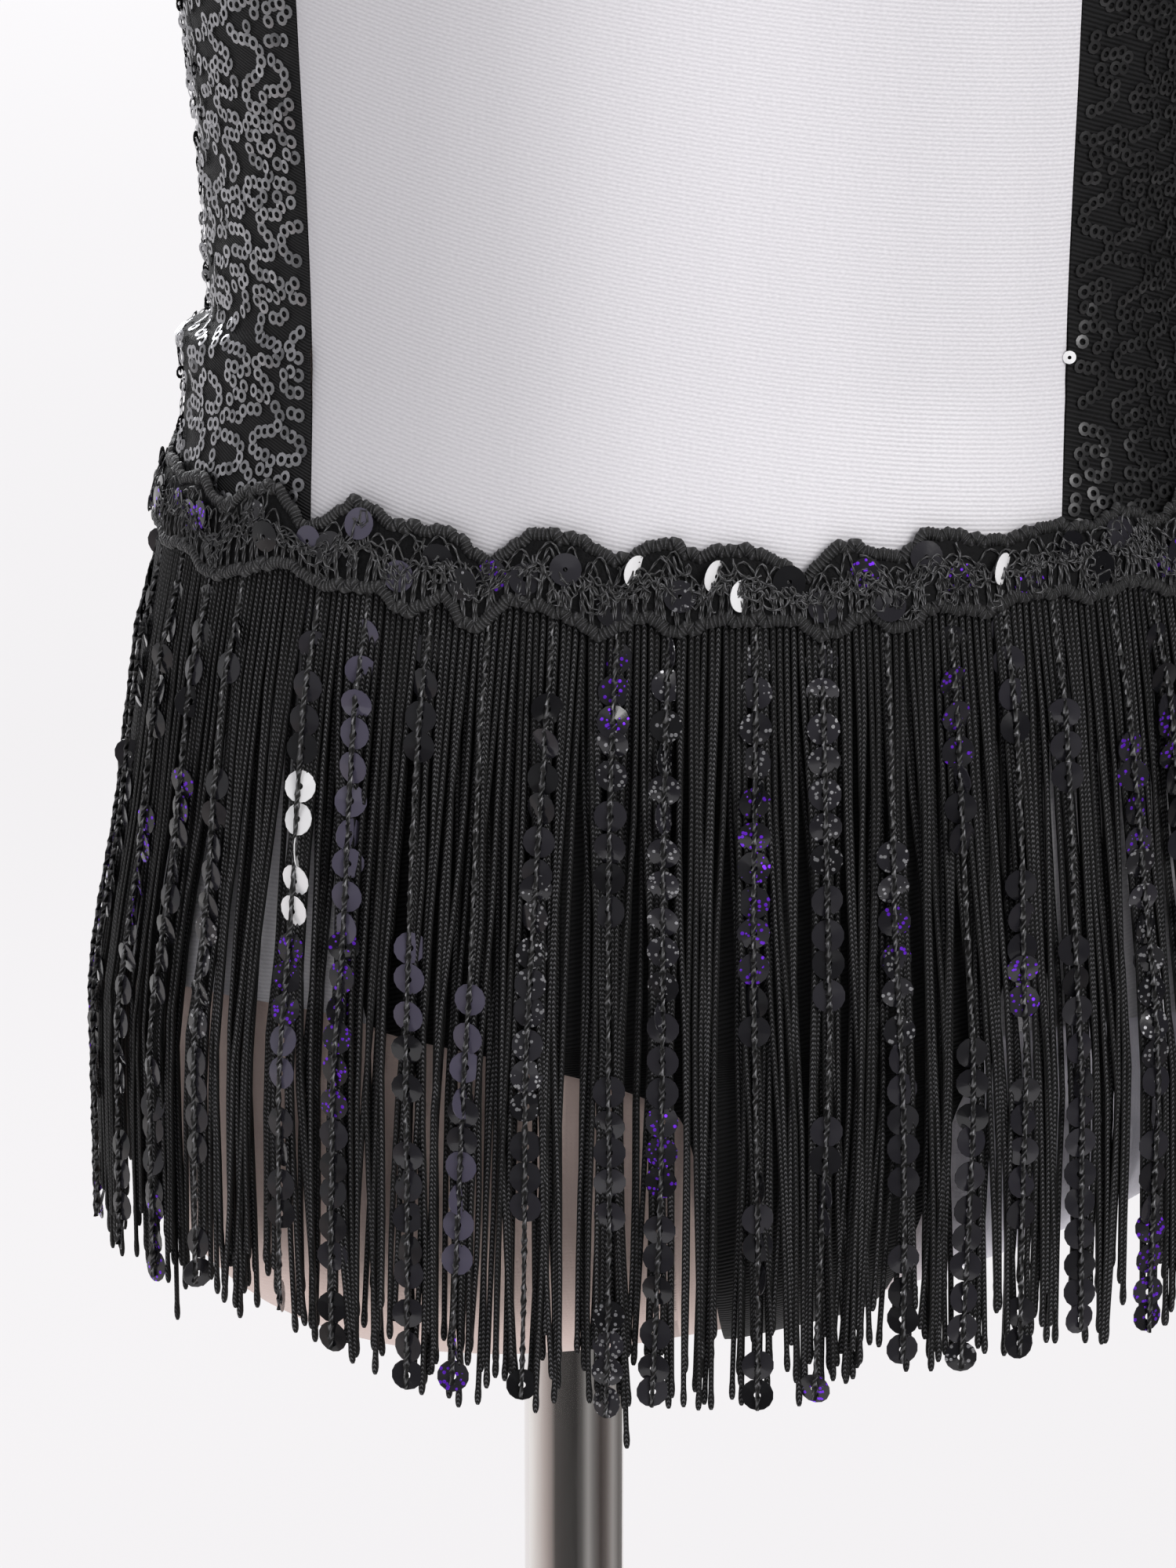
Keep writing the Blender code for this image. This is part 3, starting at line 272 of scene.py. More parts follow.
def washers(centres: Array, out: Array, outer: float, hole: float, sides: int, dome: float,
            tint: Array, kind: Array = 0.0, back: float = 0.0) -> Part:
    """Many flat rings at once, such as sequins, each with its first point at its top.

    A ring's point is centre + r (cos(turn) up + sin(turn) across), with its hole's edge raised
    by the dome.  A ring with a back is a closed thin disc, and one without is a single skin.

    Args:
        centres: (ring, 3) places.
        out: (ring, 3) directions that the rings face.
        outer: outer radius.
        hole: the hole's radius.
        sides: points round the ring.
        dome: how far the hole's edge stands above the rim.
        tint: a value for each ring.
        kind: a value for each ring.
        back: the disc's thickness, or 0 for a single skin.

    Returns:
        The rings.
    """
    out = unit(out)
    across = unit(np.cross(UP, out))
    up = np.cross(out, across)
    turn = ring_turns(sides)
    circles = [(outer, 0.0), (hole, dome)]
    if back:
        circles += [(hole, dome - back), (outer, -back)]
    spoke = up[:, None] * np.cos(turn)[None, :, None] + across[:, None] * np.sin(turn)[None, :, None]
    rings = [centres[:, None] + spoke * radius + out[:, None] * rise for radius, rise in circles]
    points = np.stack(rings, axis=1)
    cells = grid_quads(len(circles), sides, wrap_rows=bool(back), wrap_columns=True).reshape(-1, 4)
    starts = np.arange(len(centres))[:, None, None] * len(circles) * sides
    shape = points.shape[:3]
    shades = (np.broadcast_to(value, (len(centres),))[:, None, None] for value in (tint, kind))
    tint, kind = (np.broadcast_to(value, shape) for value in shades)
    spread = np.stack([np.cos(turn), np.sin(turn)], axis=-1)
    flat = np.stack([spread * radius for radius, _ in circles])
    flat = np.broadcast_to(flat, (*shape, 2)) + np.arange(len(centres))[:, None, None, None] * FLAT_STEP
    return Part.of(points, [starts + cells[:, ::-1]], flat, tint, kind)


def facing(directions: Array, yaw: Array, nod: Array, up: Array = UP) -> Array:
    """Directions turned about the upward one by a yaw, then tipped up by a nod, in radians."""
    across = unit(np.cross(up, directions))
    turned = directions * np.cos(yaw)[..., None] + across * np.sin(yaw)[..., None]
    return unit(turned * np.cos(nod)[..., None] + up * np.sin(nod)[..., None])


# ---- finishes


class Value:
    """A shader socket's number, which adds Math nodes when it is used in arithmetic."""

    def __init__(self, shader: "Shader", socket: bpy.types.NodeSocket) -> None:
        """Wraps a socket of a shader."""
        self.shader, self.socket = shader, socket

    def math(self, operation: str, *others: "Value | float", first: "Value | float" = None) -> "Value":
        """A Math node on this value.

        Args:
            operation: the node's operation.
            others: its further inputs.
            first: what takes this value's place as first input, where this value is the second.

        Returns:
            The node's result.
        """
        inputs = [self, *others] if first is None else [first, self]
        node = self.shader.node("ShaderNodeMath", {"operation": operation}, dict(enumerate(inputs)))
        return Value(self.shader, node.outputs[0])

    def __add__(self, other: "Value | float") -> "Value":
        """This plus another."""
        return self.math("ADD", other)

    __radd__ = __add__

    def __sub__(self, other: "Value | float") -> "Value":
        """This less another."""
        return self.math("SUBTRACT", other)

    def __rsub__(self, other: "Value | float") -> "Value":
        """Another less this."""
        return self.math("SUBTRACT", first=other)

    def __mul__(self, other: "Value | float") -> "Value":
        """This times another."""
        return self.math("MULTIPLY", other)

    __rmul__ = __mul__

    def __truediv__(self, other: "Value | float") -> "Value":
        """This over another."""
        return self.math("DIVIDE", other)

    def __pow__(self, other: "Value | float") -> "Value":
        """This to a power."""
        return self.math("POWER", other)

    def sine(self) -> "Value":
        """The sine of this value."""
        return self.math("SINE")

    def size(self) -> "Value":
        """This value without its sign."""
        return self.math("ABSOLUTE")

    def over(self, limit: float) -> "Value":
        """1 where this value is above a limit, and 0 elsewhere."""
        return self.math("GREATER_THAN", limit)


class Shader:
    """A material's nodes round one Principled shader."""

    def __init__(self, name: str) -> None:
        """Starts a material of that name."""
        self.made = bpy.data.materials.new(name)
        self.made.use_nodes = True
        self.tree = self.made.node_tree
        self.surface = self.tree.nodes["Principled BSDF"]

    def node(self, kind: str, settings: dict | None = None, inputs: dict | None = None) -> bpy.types.Node:
        """A node of any type.

        Args:
            kind: the node's type.
            settings: its properties, set first; a ramp's stops are under "stops".
            inputs: what its sockets hold or are linked from, by name or place.

        Returns:
            The node.
        """
        node = self.tree.nodes.new(kind)
        for name, value in (settings or {}).items():
            if name == "stops":
                while len(node.color_ramp.elements) < len(value):
                    node.color_ramp.elements.new(0.5)
                for element, (place, grey) in zip(node.color_ramp.elements, value):
                    element.position = place
                    element.color = (grey, grey, grey, 1.0)
            else:
                setattr(node, name, value)
        for name, value in (inputs or {}).items():
            self.feed(node.inputs[name], value)
        return node

    def feed(self, socket: bpy.types.NodeSocket, value: object) -> None:
        """Links a value or a node's socket to a socket, or sets the socket to a number or colour."""
        if isinstance(value, Value):
            self.tree.links.new(value.socket, socket)
        elif isinstance(value, bpy.types.NodeSocket):
            self.tree.links.new(value, socket)
        elif isinstance(value, tuple) and len(value) == 3 and socket.type == "RGBA":
            socket.default_value = (*value, 1.0)
        else:
            socket.default_value = value

    def set(self, **inputs: object) -> None:
        """Sets the Principled shader's sockets, with underscores for the spaces in their names."""
        for name, value in inputs.items():
            self.feed(self.surface.inputs[name.replace("_", " ")], value)

    def attribute(self, name: str) -> Value:
        """A number that the mesh holds for each point."""
        node = self.node("ShaderNodeAttribute", {"attribute_name": name})
        return Value(self, node.outputs["Fac"])

    def flat(self) -> tuple[Value, Value]:
        """The flat place across and along, in metres."""
        place = self.node("ShaderNodeUVMap", {"uv_map": "flat"})
        split = self.node("ShaderNodeSeparateXYZ", inputs={0: place.outputs["UV"]})
        return Value(self, split.outputs["X"]), Value(self, split.outputs["Y"])

    def noise(self, scale: float, detail: float = 2.0, stretch: tuple = (1.0, 1.0, 1.0),
              flat: bool = False) -> Value:
        """Noise over the object's own space or its flat places.

        Args:
            scale: how many waves to a metre.
            detail: how many finer octaves.
            stretch: the scale along each axis.
            flat: whether it follows the flat places.

        Returns:
            The noise, about 0.5.
        """
        if flat:
            place = self.node("ShaderNodeUVMap", {"uv_map": "flat"}).outputs["UV"]
        else:
            place = self.node("ShaderNodeTexCoord").outputs["Object"]
        mapped = self.node("ShaderNodeMapping", inputs={"Vector": place, "Scale": stretch})
        inputs = {"Vector": mapped.outputs[0], "Scale": scale, "Detail": detail}
        node = self.node("ShaderNodeTexNoise", inputs=inputs)
        return Value(self, node.outputs["Fac"])

    def ramp(self, value: Value, *stops: tuple[float, float]) -> Value:
        """A value carried through grey stops of (place, grey)."""
        node = self.node("ShaderNodeValToRGB", {"stops": stops}, {"Fac": value})
        return Value(self, node.outputs["Color"])

    def mix(self, share: Value, low: object, high: object) -> bpy.types.NodeSocket:
        """A colour between two others."""
        node = self.node("ShaderNodeMix", {"data_type": "RGBA"}, {0: share, 6: low, 7: high})
        return node.outputs[2]

    def bump(self, height: Value, depth: float, strength: float = 1.0) -> None:
        """Bumps the surface by a height that is 0 to 1 over a depth in metres."""
        inputs = {"Height": height, "Distance": depth, "Strength": strength}
        node = self.node("ShaderNodeBump", inputs=inputs)
        self.set(Normal=node.outputs["Normal"])


class Finish:
    """A finish whose material is made once and shared."""

    label: str

    @cached_property
    def material(self) -> bpy.types.Material:
        """The finish's material."""
        shader = Shader(self.label)
        self.dress(shader)
        return shader.made

    def dress(self, shader: Shader) -> None:
        """Sets the shader's colour, gloss and bump."""
        raise NotImplementedError


@dataclass(frozen=True)
class RibbedCloth(Finish):
    """Twill with fine ribs that slope across it, and slope less and less where they bend."""

    label: str
    colour: tuple  # on the ribs
    deep: tuple  # between the ribs, a darker colour that is painted shade in the rib valleys
    pitch: float  # from rib to rib, in metres
    slope: float  # how far a rib falls for each metre across, at the middle
    bend: float  # how much that slope lessens for each metre across
    rib: float  # how deep the ribs are, in metres
    gloss: float  # mean roughness
    specular: float
    sheen: float
    band: tuple = ()  # (metres across, brightness) stops of a broad soft sheen, painted into the colour

    def dress(self, shader: Shader) -> None:
        """Ribs are the sine of the flat place, wavering a little, with a finer yarn grain on them."""
        across, along = shader.flat()
        waver = shader.noise(60.0, flat=True) * 1.6
        waver = waver + shader.noise(420.0, 1.0, (1.0, 2.5, 1.0), flat=True) * 0.5
        fall = across * self.slope - across * across * (self.bend / 2)
        rib = ((along + fall) * (TAU / self.pitch) + waver).sine() * 0.5 + 0.5
        grain = shader.noise(1900.0, 2.0, (0.55, 1.0, 1.0), flat=True)
        broad = shader.noise(14.0, 2.0, (3.0, 0.35, 1.0), flat=True)
        # painted shade: the colour falls towards the deep one between the ribs; the broad soft streaks in it
        # are partly tone and partly painted sheen
        shade = rib * 0.72 + grain * 0.5 + broad * 0.35 - 0.28
        colour = shader.mix(shade, self.deep, self.colour)
        if self.band:
            # painted sheen: a broad band of light across the cloth, brightest a little right of the middle,
            # scales the colour; the ribs' painted shade grows stronger towards the right, and fine painted
            # glints fleck the sheen
            place = across * 4 + 0.5
            lit = shader.ramp(place, *((at * 4 + 0.5, bright / 2) for at, bright in self.band))
            painted_rib_shade_strength = shader.ramp(place, (0.25, 0.5), (0.60, 0.7), (0.80, 1.0))
            colour = shader.mix((shade - 0.5) * painted_rib_shade_strength + 0.5, self.deep, self.colour)
            painted_glint_fleck = (grain - 0.5) * 0.22 + 1.0
            inputs = {0: colour, 3: lit * painted_glint_fleck * 2}
            scaled = shader.node("ShaderNodeVectorMath", {"operation": "SCALE"}, inputs)
            colour = scaled.outputs["Vector"]
        shader.set(
            Base_Color=colour, Roughness=grain * 0.18 + broad * 0.12 + (self.gloss - 0.15),
            Specular_IOR_Level=self.specular, Sheen_Weight=self.sheen, Sheen_Roughness=0.4,
        )
        shader.bump(rib * 0.8 + grain * 0.35, self.rib)


class Jersey(Finish):
    """The form's fine knitted cover."""

    label = "form jersey"
    wale = 0.0009  # metres from wale to wale
    course = 0.0011  # and from course to course

    def dress(self, shader: Shader) -> None:
        """Fine wales along the height with a soft mottle, and painted cool light, a greyish lilac, on the
        right of the form low down.
        """
        across, along = shader.flat()
        wale = (across * (TAU / self.wale)).sine() * 0.5 + 0.5
        course = (along * (TAU / self.course)).sine() * 0.5 + 0.5
        mottle = shader.noise(22.0, 4.0)
        fibre = shader.noise(1800.0, 2.0)
        place = shader.node("ShaderNodeTexCoord").outputs["Object"]
        split = shader.node("ShaderNodeSeparateXYZ", inputs={0: place})
        aside, height = Value(shader, split.outputs["X"]), Value(shader, split.outputs["Z"])
        # painted cool light: greyish lilac over the beige on the right side, below about 0.9 m
        painted_cool_light = shader.ramp(aside * 4, (0.28, 0.0), (0.44, 1.0))
        painted_cool_light = painted_cool_light * shader.ramp(height, (0.87, 1.0), (0.95, 0.0))
        warm = shader.mix(mottle * 0.8 + fibre * 0.3, (0.72, 0.55, 0.49), (0.86, 0.69, 0.63))
        shader.set(
            Base_Color=shader.mix(painted_cool_light, warm, (0.84, 0.82, 0.90)), Roughness=fibre * 0.2 + 0.68,
            Specular_IOR_Level=0.25, Sheen_Weight=0.35, Sheen_Roughness=0.5,
        )
        shader.bump(wale * course * 0.7 + fibre * 0.4, 0.00012)


class Chrome(Finish):
    """Polished tube and plate."""

    label = "polished chrome"

    def dress(self, shader: Shader) -> None:
        """Bright metal with faint rubbing along it."""
        rub = shader.noise(35.0, 3.0, (6.0, 6.0, 0.6))
        shader.set(
            Base_Color=shader.mix(rub, (0.74, 0.71, 0.69), (0.86, 0.84, 0.82)), Metallic=1.0,
            Roughness=rub * 0.10 + 0.06,
        )


class RingFilm(Finish):
    """The small ring sequins' smoky film."""

    label = "ring sequin film"

    def dress(self, shader: Shader) -> None:
        """Grey gloss whose tint follows each ring, and near black as its kind, a painted shade, grows to 1.
        """
        # the kind is painted shade that darkens the rings at the right of the front
        tint, painted_shade = shader.attribute("tint"), shader.attribute("kind")
        film = shader.mix(tint, (0.18, 0.18, 0.19), (0.44, 0.44, 0.46))
        shader.set(
            Base_Color=shader.mix(painted_shade, film, (0.11, 0.11, 0.113)), Metallic=0.92,
            Roughness=tint * 0.12 + painted_shade * 0.08 + 0.26,
        )


class SequinLook(Enum):
    """What the flat sequins are made of, as the value of their kind."""

    BLACK = 0.0
    SLATE = 1.0
    SILVER_GLITTER = 2.0
    VIOLET_GLITTER = 3.0
    # white: the stray white sequin, and painted reflection where black gloss sequins mirror the light
    WHITE_AND_PAINTED_GLINT = 4.0


BLACK, SLATE, WHITE_AND_PAINTED_GLINT = SequinLook.BLACK, SequinLook.SLATE, SequinLook.WHITE_AND_PAINTED_GLINT
SILVER, VIOLET = SequinLook.SILVER_GLITTER, SequinLook.VIOLET_GLITTER


class SequinFilm(Finish):
    """The flat sequins' glossy film: plain, slate, with glitter in it, or white, which also serves as
    painted reflection where black gloss sequins mirror the light.
    """

    label = "flat sequin film"

    def dress(self, shader: Shader) -> None:
        """Each kind's share is a tent about its value; glitter is the small cells of a cell pattern."""
        tint, kind = shader.attribute("tint"), shader.attribute("kind")

        def share(look: SequinLook) -> Value:
            """1 at a kind's own value and 0 elsewhere."""
            return 1.0 - (kind - look.value).size().over(0.5)

        place = shader.node("ShaderNodeUVMap", {"uv_map": "flat"}).outputs["UV"]
        cells = shader.node("ShaderNodeTexVoronoi", {"feature": "F1"}, {"Vector": place, "Scale": 780.0})
        spot = shader.ramp(Value(shader, cells.outputs["Distance"]), (0.34, 1.0), (0.42, 0.0))
        chance = shader.node("ShaderNodeSeparateColor", inputs={0: cells.outputs["Color"]})
        picked = Value(shader, chance.outputs[0]).over(0.46)
        glitter = spot * picked
        silver, violet, slate, white = share(SILVER), share(VIOLET), share(SLATE), share(WHITE_AND_PAINTED_GLINT)
        black = shader.mix(tint, (0.006, 0.006, 0.007), (0.020, 0.019, 0.024))
        base = shader.mix(slate, black, (0.074, 0.068, 0.100))
        base = shader.mix(silver * glitter, base, (0.42, 0.42, 0.44))
        base = shader.mix(violet * glitter, base, (0.24, 0.04, 1.0))
        # white: also painted reflection, where black gloss sequins mirror the light
        base = shader.mix(white, base, (0.93, 0.93, 0.94))
        shader.set(
            Base_Color=base, Metallic=(silver + violet) * glitter * 0.8 + slate * 0.15 + white * 0.2,
            Roughness=(silver + violet) * glitter * 0.18 + tint * 0.08 + 0.14, Specular_IOR_Level=0.45,
            Coat_Weight=0.25, Coat_Roughness=0.08,
        )
        shader.bump(glitter * (silver + violet) + shader.noise(260.0, 2.0) * 0.5, 0.00016)


@dataclass(frozen=True)
class Thread(Finish):
    """Black rayon thread, knitted or laid."""

    label: str
    pitch: float  # from stitch to stitch, in metres
    lean: float  # how many stitches a stitch slants from front to back
    depth: float  # how deep the stitches are, in metres
    low: float  # the grey between stitches
    high: float  # the grey on them, a painted highlight on black thread
    specular: float
    sides: float  # how much of the stitches' grey the thread's sides keep; the rest is painted shade

    def dress(self, shader: Shader) -> None:
        """Stitches are the sine of the place along, slanted from the front, so that they make a V."""
        round_it, along = shader.flat()
        tint = shader.attribute("tint")
        waver = shader.noise(500.0, 1.0) * 1.2
        phase = along * (TAU / self.pitch) - round_it * (TAU * self.lean) + waver + tint * 60
        stitch = (phase.sine() * 0.5 + 0.5) ** 2.6
        # painted shade: the thread's sides, and less so its middle, keep only part of the stitches' grey
        painted_shade_keep = shader.ramp(round_it, (0.0, 0.55), (0.05, 1.0), (0.12, 1.0), (0.19, self.sides))
        raised = stitch * painted_shade_keep
        fibre = shader.noise(5200.0, 1.0)
        low, high = (self.low,) * 3, (self.high, self.high, self.high * 1.05)
        shader.set(
            # the stitches' grey in the colour is a painted highlight on the black thread
            Base_Color=shader.mix(raised * (fibre + 0.35) * (tint + 0.35), low, high),
            Roughness=0.50 - raised * 0.18, Specular_IOR_Level=self.specular,
        )
        shader.bump(raised + fibre * 0.25, self.depth)


class Net(Finish):
    """The trim's black ground net."""

    label = "lace ground"

    def dress(self, shader: Shader) -> None:
        """Fine crossed threads."""
        cells = shader.noise(900.0, 3.0, flat=True)
        shader.set(
            Base_Color=shader.mix(cells, (0.001, 0.001, 0.001), (0.010, 0.010, 0.011)),
            Roughness=cells * 0.3 + 0.55, Specular_IOR_Level=0.12,
        )
        shader.bump(cells, 0.0004)


class Pale(Finish):
    """The studio floor."""

    label = "pale floor"

    def dress(self, shader: Shader) -> None:
        """Near white, lit from within so that it stays even, and a little more so far away."""
        far, _ = shader.flat()
        tone = shader.noise(0.8, 2.0)
        glow = shader.ramp(far, (0.04, 0.0), (0.30, 1.0))
        shader.set(
            Base_Color=shader.mix(tone, (0.11, 0.108, 0.11), (0.13, 0.128, 0.13)), Roughness=0.9,
            Specular_IOR_Level=0.1,
            Emission_Color=shader.mix(glow, (0.78, 0.765, 0.775), (0.91, 0.90, 0.915)),
            Emission_Strength=1.0,
        )


# the satin's band is a painted broad sheen across the cloth
SATIN = RibbedCloth(
    "white satin twill", (0.70, 0.69, 0.715), (0.55, 0.54, 0.57), pitch=0.00118, slope=0.175, bend=1.4,
    rib=0.00010, gloss=0.42, specular=0.45, sheen=0.10,
    band=((-0.095, 0.90), (-0.065, 0.887), (-0.045, 0.92), (-0.025, 1.02), (-0.005, 1.11),
          (0.015, 1.13), (0.035, 1.08), (0.060, 1.0), (0.090, 0.965)),
)
TWILL = RibbedCloth(
    "black stretch twill", (0.014, 0.014, 0.015), (0.001, 0.001, 0.001), pitch=0.00125, slope=0.30,
    bend=0.0, rib=0.00026, gloss=0.60, specular=0.16, sheen=0.0,
)
FINE_TWILL = RibbedCloth(
    "fine black twill", (0.026, 0.026, 0.027), (0.002, 0.002, 0.002), pitch=0.00085, slope=0.36,
    bend=0.0, rib=0.00022, gloss=0.60, specular=0.12, sheen=0.0,
)
# the threads' high greys are painted highlights on black thread, and their sides painted shade
CHAINETTE = Thread(
    "chainette cord", pitch=0.00125, lean=2.4, depth=0.0007, low=0.0008, high=0.23, specular=0.24,
    sides=0.04,
)
TWISTED = Thread(
    "twisted thread", pitch=0.0030, lean=1.1, depth=0.0003, low=0.003, high=0.42, specular=0.6, sides=0.3,
)
STITCHED = Thread(
    "satin stitch", pitch=0.00105, lean=0.25, depth=0.0007, low=0.0005, high=0.14, specular=0.7, sides=0.5,
)
JERSEY, CHROME, RING_FILM, SEQUIN_FILM, NET = Jersey(), Chrome(), RingFilm(), SequinFilm(), Net()


# ---- torso


class Section(NamedTuple):
    """The bare form's size at one height."""

    height: float
    half_width: float
    front: float
    back: float


class Fold(NamedTuple):
    """A soft ruck: its crest's place, its spread, slant and depth, and how steep it is above and below."""

    angle: float
    height: float
    half_angle: float
    half_height: float
    slant: float
    depth: float
    top: float = 1.35
    foot: float = 0.90


SECTIONS = np.array([
    Section(0.805, 0.1550, 0.106, 0.116),
    Section(0.870, 0.1455, 0.102, 0.108),
    Section(0.952, 0.1370, 0.096, 0.098),
    Section(0.994, 0.1265, 0.090, 0.086),
    Section(1.040, 0.1290, 0.093, 0.087),
    Section(1.080, 0.1330, 0.098, 0.090),
    Section(1.120, 0.1370, 0.107, 0.093),
    Section(1.170, 0.1410, 0.119, 0.095),
    Section(1.215, 0.1460, 0.114, 0.097),
    Section(1.270, 0.1570, 0.098, 0.096),
    Section(1.315, 0.1700, 0.082, 0.088),
    Section(1.342, 0.1740, 0.068, 0.074),
    Section(1.358, 0.1630, 0.058, 0.063),
    Section(1.372, 0.1330, 0.051, 0.056),
    Section(1.386, 0.0970, 0.048, 0.052),
    Section(1.398, 0.0700, 0.047, 0.050),
    Section(1.412, 0.0580, 0.048, 0.050),
    Section(1.445, 0.0550, 0.049, 0.051),
])

# The first five are the main rucks, and the rest are shallow drag lines from the waist and bust.
FOLDS = (
    Fold(-1.60, 0.988, 0.46, 0.017, 0.012, 0.0092, 4.2, 0.95),
    Fold(1.66, 0.991, 0.46, 0.017, -0.012, 0.0062, 2.6, 0.88),
    Fold(-1.95, 1.018, 0.50, 0.012, 0.000, 0.0022),
    Fold(2.60, 0.980, 0.60, 0.014, 0.000, 0.0030),
    Fold(-2.85, 1.004, 0.55, 0.014, 0.000, 0.0026),
    Fold(-1.22, 1.012, 0.22, 0.006, 0.035, 0.0009),
    Fold(-1.05, 1.034, 0.20, 0.007, 0.050, 0.0007),
    Fold(-1.32, 0.966, 0.20, 0.005, -0.020, 0.0008),
    Fold(1.20, 1.016, 0.24, 0.006, -0.040, 0.0008),
    Fold(1.36, 1.046, 0.20, 0.008, -0.050, 0.0006),
    Fold(2.20, 1.012, 0.34, 0.007, 0.030, 0.0010),
    Fold(-2.30, 1.036, 0.30, 0.008, -0.030, 0.0009),
    Fold(3.05, 1.030, 0.40, 0.009, 0.020, 0.0008),
    Fold(-2.70, 1.150, 0.30, 0.012, 0.080, 0.0008),
    Fold(2.65, 1.160, 0.32, 0.012, -0.080, 0.0007),
)


@dataclass(frozen=True)
class Torso:
    """The bare form's surface, about its own axis."""

    axis_x: float
    roundness: float = 2.3
    underside_roundness: float = 3.3
    hip: float = 0.805
    neck_top: float = 1.445
    low_side_drop: float = 0.112
    high_side_drop: float = 0.037
    drop_turn_x: float = 0.04
    drop_turn_width: float = 0.145
    under_radius: float = 0.100
    normal_step: float = 0.0001
    reach: float = 0.25
    halvings: int = 36

    def half_width(self, height: Array) -> Array:
        """Half the form's width at a height."""
        return smooth_curve(SECTIONS[:, 0], SECTIONS[:, 1], height)

    def depth(self, height: Array, y: Array) -> Array:
        """The form's depth at a height, in front for negative y and behind otherwise."""
        front = smooth_curve(SECTIONS[:, 0], SECTIONS[:, 2], height)
        back = smooth_curve(SECTIONS[:, 0], SECTIONS[:, 3], height)
        return np.where(np.asarray(y) < 0, front, back)

    def drop(self, x: Array) -> Array:
        """How far the underside hangs below the hip, deep on one side and shallow on the other."""
        middle = (self.low_side_drop + self.high_side_drop) / 2
        swing = (self.low_side_drop - self.high_side_drop) / 2
        return middle - swing * np.tanh((x - self.drop_turn_x) / self.drop_turn_width)

    def level(self, points: Array) -> Array:
        """Below zero inside the form, zero on it, above zero outside.

        It is |x / half width|^p + |y / depth|^p, plus |drop below the hip|^q below it, less one.
        """
        x, y, z = points[..., 0], points[..., 1], points[..., 2]
        ring = (np.abs(x) / self.half_width(z)) ** self.roundness
        ring = ring + (np.abs(y) / self.depth(z, y)) ** self.roundness
        below = np.clip(self.hip - z, 0, None) / self.drop(x)
        return ring + below**self.underside_roundness - 1

    def outward(self, points: Array) -> Array:
        """Unit normals of the surfaces on which the level stays the same."""
        shifts = np.eye(3) * self.normal_step
        slope = [self.level(points + shift) - self.level(points - shift) for shift in shifts]
        return unit(np.stack(slope, axis=-1))

    def lift(self, points: Array, distance: Array) -> Array:
        """Points moved out from the form by a distance."""
        return points + self.outward(points) * np.asarray(distance)[..., None]

    def at_angle(self, angle: Array, height: Array) -> Array:
        """The form's surface at an angle about its axis and a height at or above the hip."""
        angle, height = np.broadcast_arrays(np.asarray(angle, float), np.asarray(height, float))
        sine, cosine = np.sin(angle), np.cos(angle)
        wide = np.abs(sine) / self.half_width(height)
        deep = np.abs(cosine) / self.depth(height, -cosine)
        radius = (wide**self.roundness + deep**self.roundness) ** (-1 / self.roundness)
        return np.stack([radius * sine, -radius * cosine, height], axis=-1)

    def depth_at(self, x: Array, height: Array, y_sign: Array) -> Array:
        """The y of the surface at an x and a height, on the side that y_sign names."""
        y_sign = np.broadcast_to(y_sign, np.shape(x))
        share = np.clip(1 - (np.abs(x) / self.half_width(height)) ** self.roundness, 0, None)
        return y_sign * self.depth(height, y_sign) * share ** (1 / self.roundness)

    def width_at(self, y: float, height: float) -> float:
        """The x of the surface at a y and a height."""
        share = np.clip(1 - (abs(y) / self.depth(height, y)) ** self.roundness, 0, None)
        return float(self.half_width(height) * share ** (1 / self.roundness))

    def angle_at(self, x: Array, height: Array, y_sign: float = -1.0) -> Array:
        """The angle about the axis of the surface point at an x and a height."""
        return np.arctan2(x, -self.depth_at(x, height, y_sign))

    def along_ray(self, centre: Array, direction: Array) -> Array:
        """Where rays from inside the form meet its surface, found by halving the reach."""
        low = np.zeros(direction.shape[:-1])
        high = np.full(direction.shape[:-1], self.reach)
        for _ in range(self.halvings):
            middle = (low + high) / 2
            inside = self.level(centre + direction * middle[..., None]) < 0
            low, high = np.where(inside, middle, low), np.where(inside, high, middle)
        return centre + direction * low[..., None]

    def over_shoulder(self, x: float, height: float, share: float, y_sign: float,
                      gap: float) -> tuple[float, float]:
        """The angle and height of the shoulder's surface at an x.

        Args:
            x: the place across.
            height: a lower height, where the surface's depth is read.
            share: the depth there that is kept; 0 is the shoulder's ridge.
            y_sign: -1 in front and 1 behind.
            gap: half a seam's gap, kept at the ridge.

        Returns:
            The angle about the axis, and the height.
        """
        y = float(self.depth_at(x, height, y_sign)) * share
        y += y_sign * gap if share == 0 else 0
        low, high = height, self.neck_top
        for _ in range(self.halvings):
            middle = (low + high) / 2
            inside = self.level(np.array([x, y, middle])) < 0
            low, high = (middle, high) if inside else (low, middle)
        return math.atan2(x, -y), low

    def brief_point(self, x: Array, run: Array) -> Array:
        """The surface at an x and a run.

        A run is the height above the hip in front, then an arc under the torso about the line
        through its axis at hip height, then the height again behind.
        """
        x, run = np.broadcast_arrays(np.asarray(x, float), np.asarray(run, float))
        turn = np.clip(-run / self.under_radius, 0, math.pi)
        direction = np.stack([0 * x, -np.cos(turn), -np.sin(turn)], axis=-1)
        centre = np.stack([x, 0 * x, 0 * x + self.hip], axis=-1)
        under = self.along_ray(centre, direction)
        behind = run < -math.pi * self.under_radius
        rise = np.where(behind, -run - math.pi * self.under_radius, np.clip(run, 0, None))
        upper_y = self.depth_at(x, self.hip + rise, np.where(behind, 1.0, -1.0))
        upper = np.stack([x, upper_y, self.hip + rise], axis=-1)
        return np.where((behind | (run > 0))[..., None], upper, under)

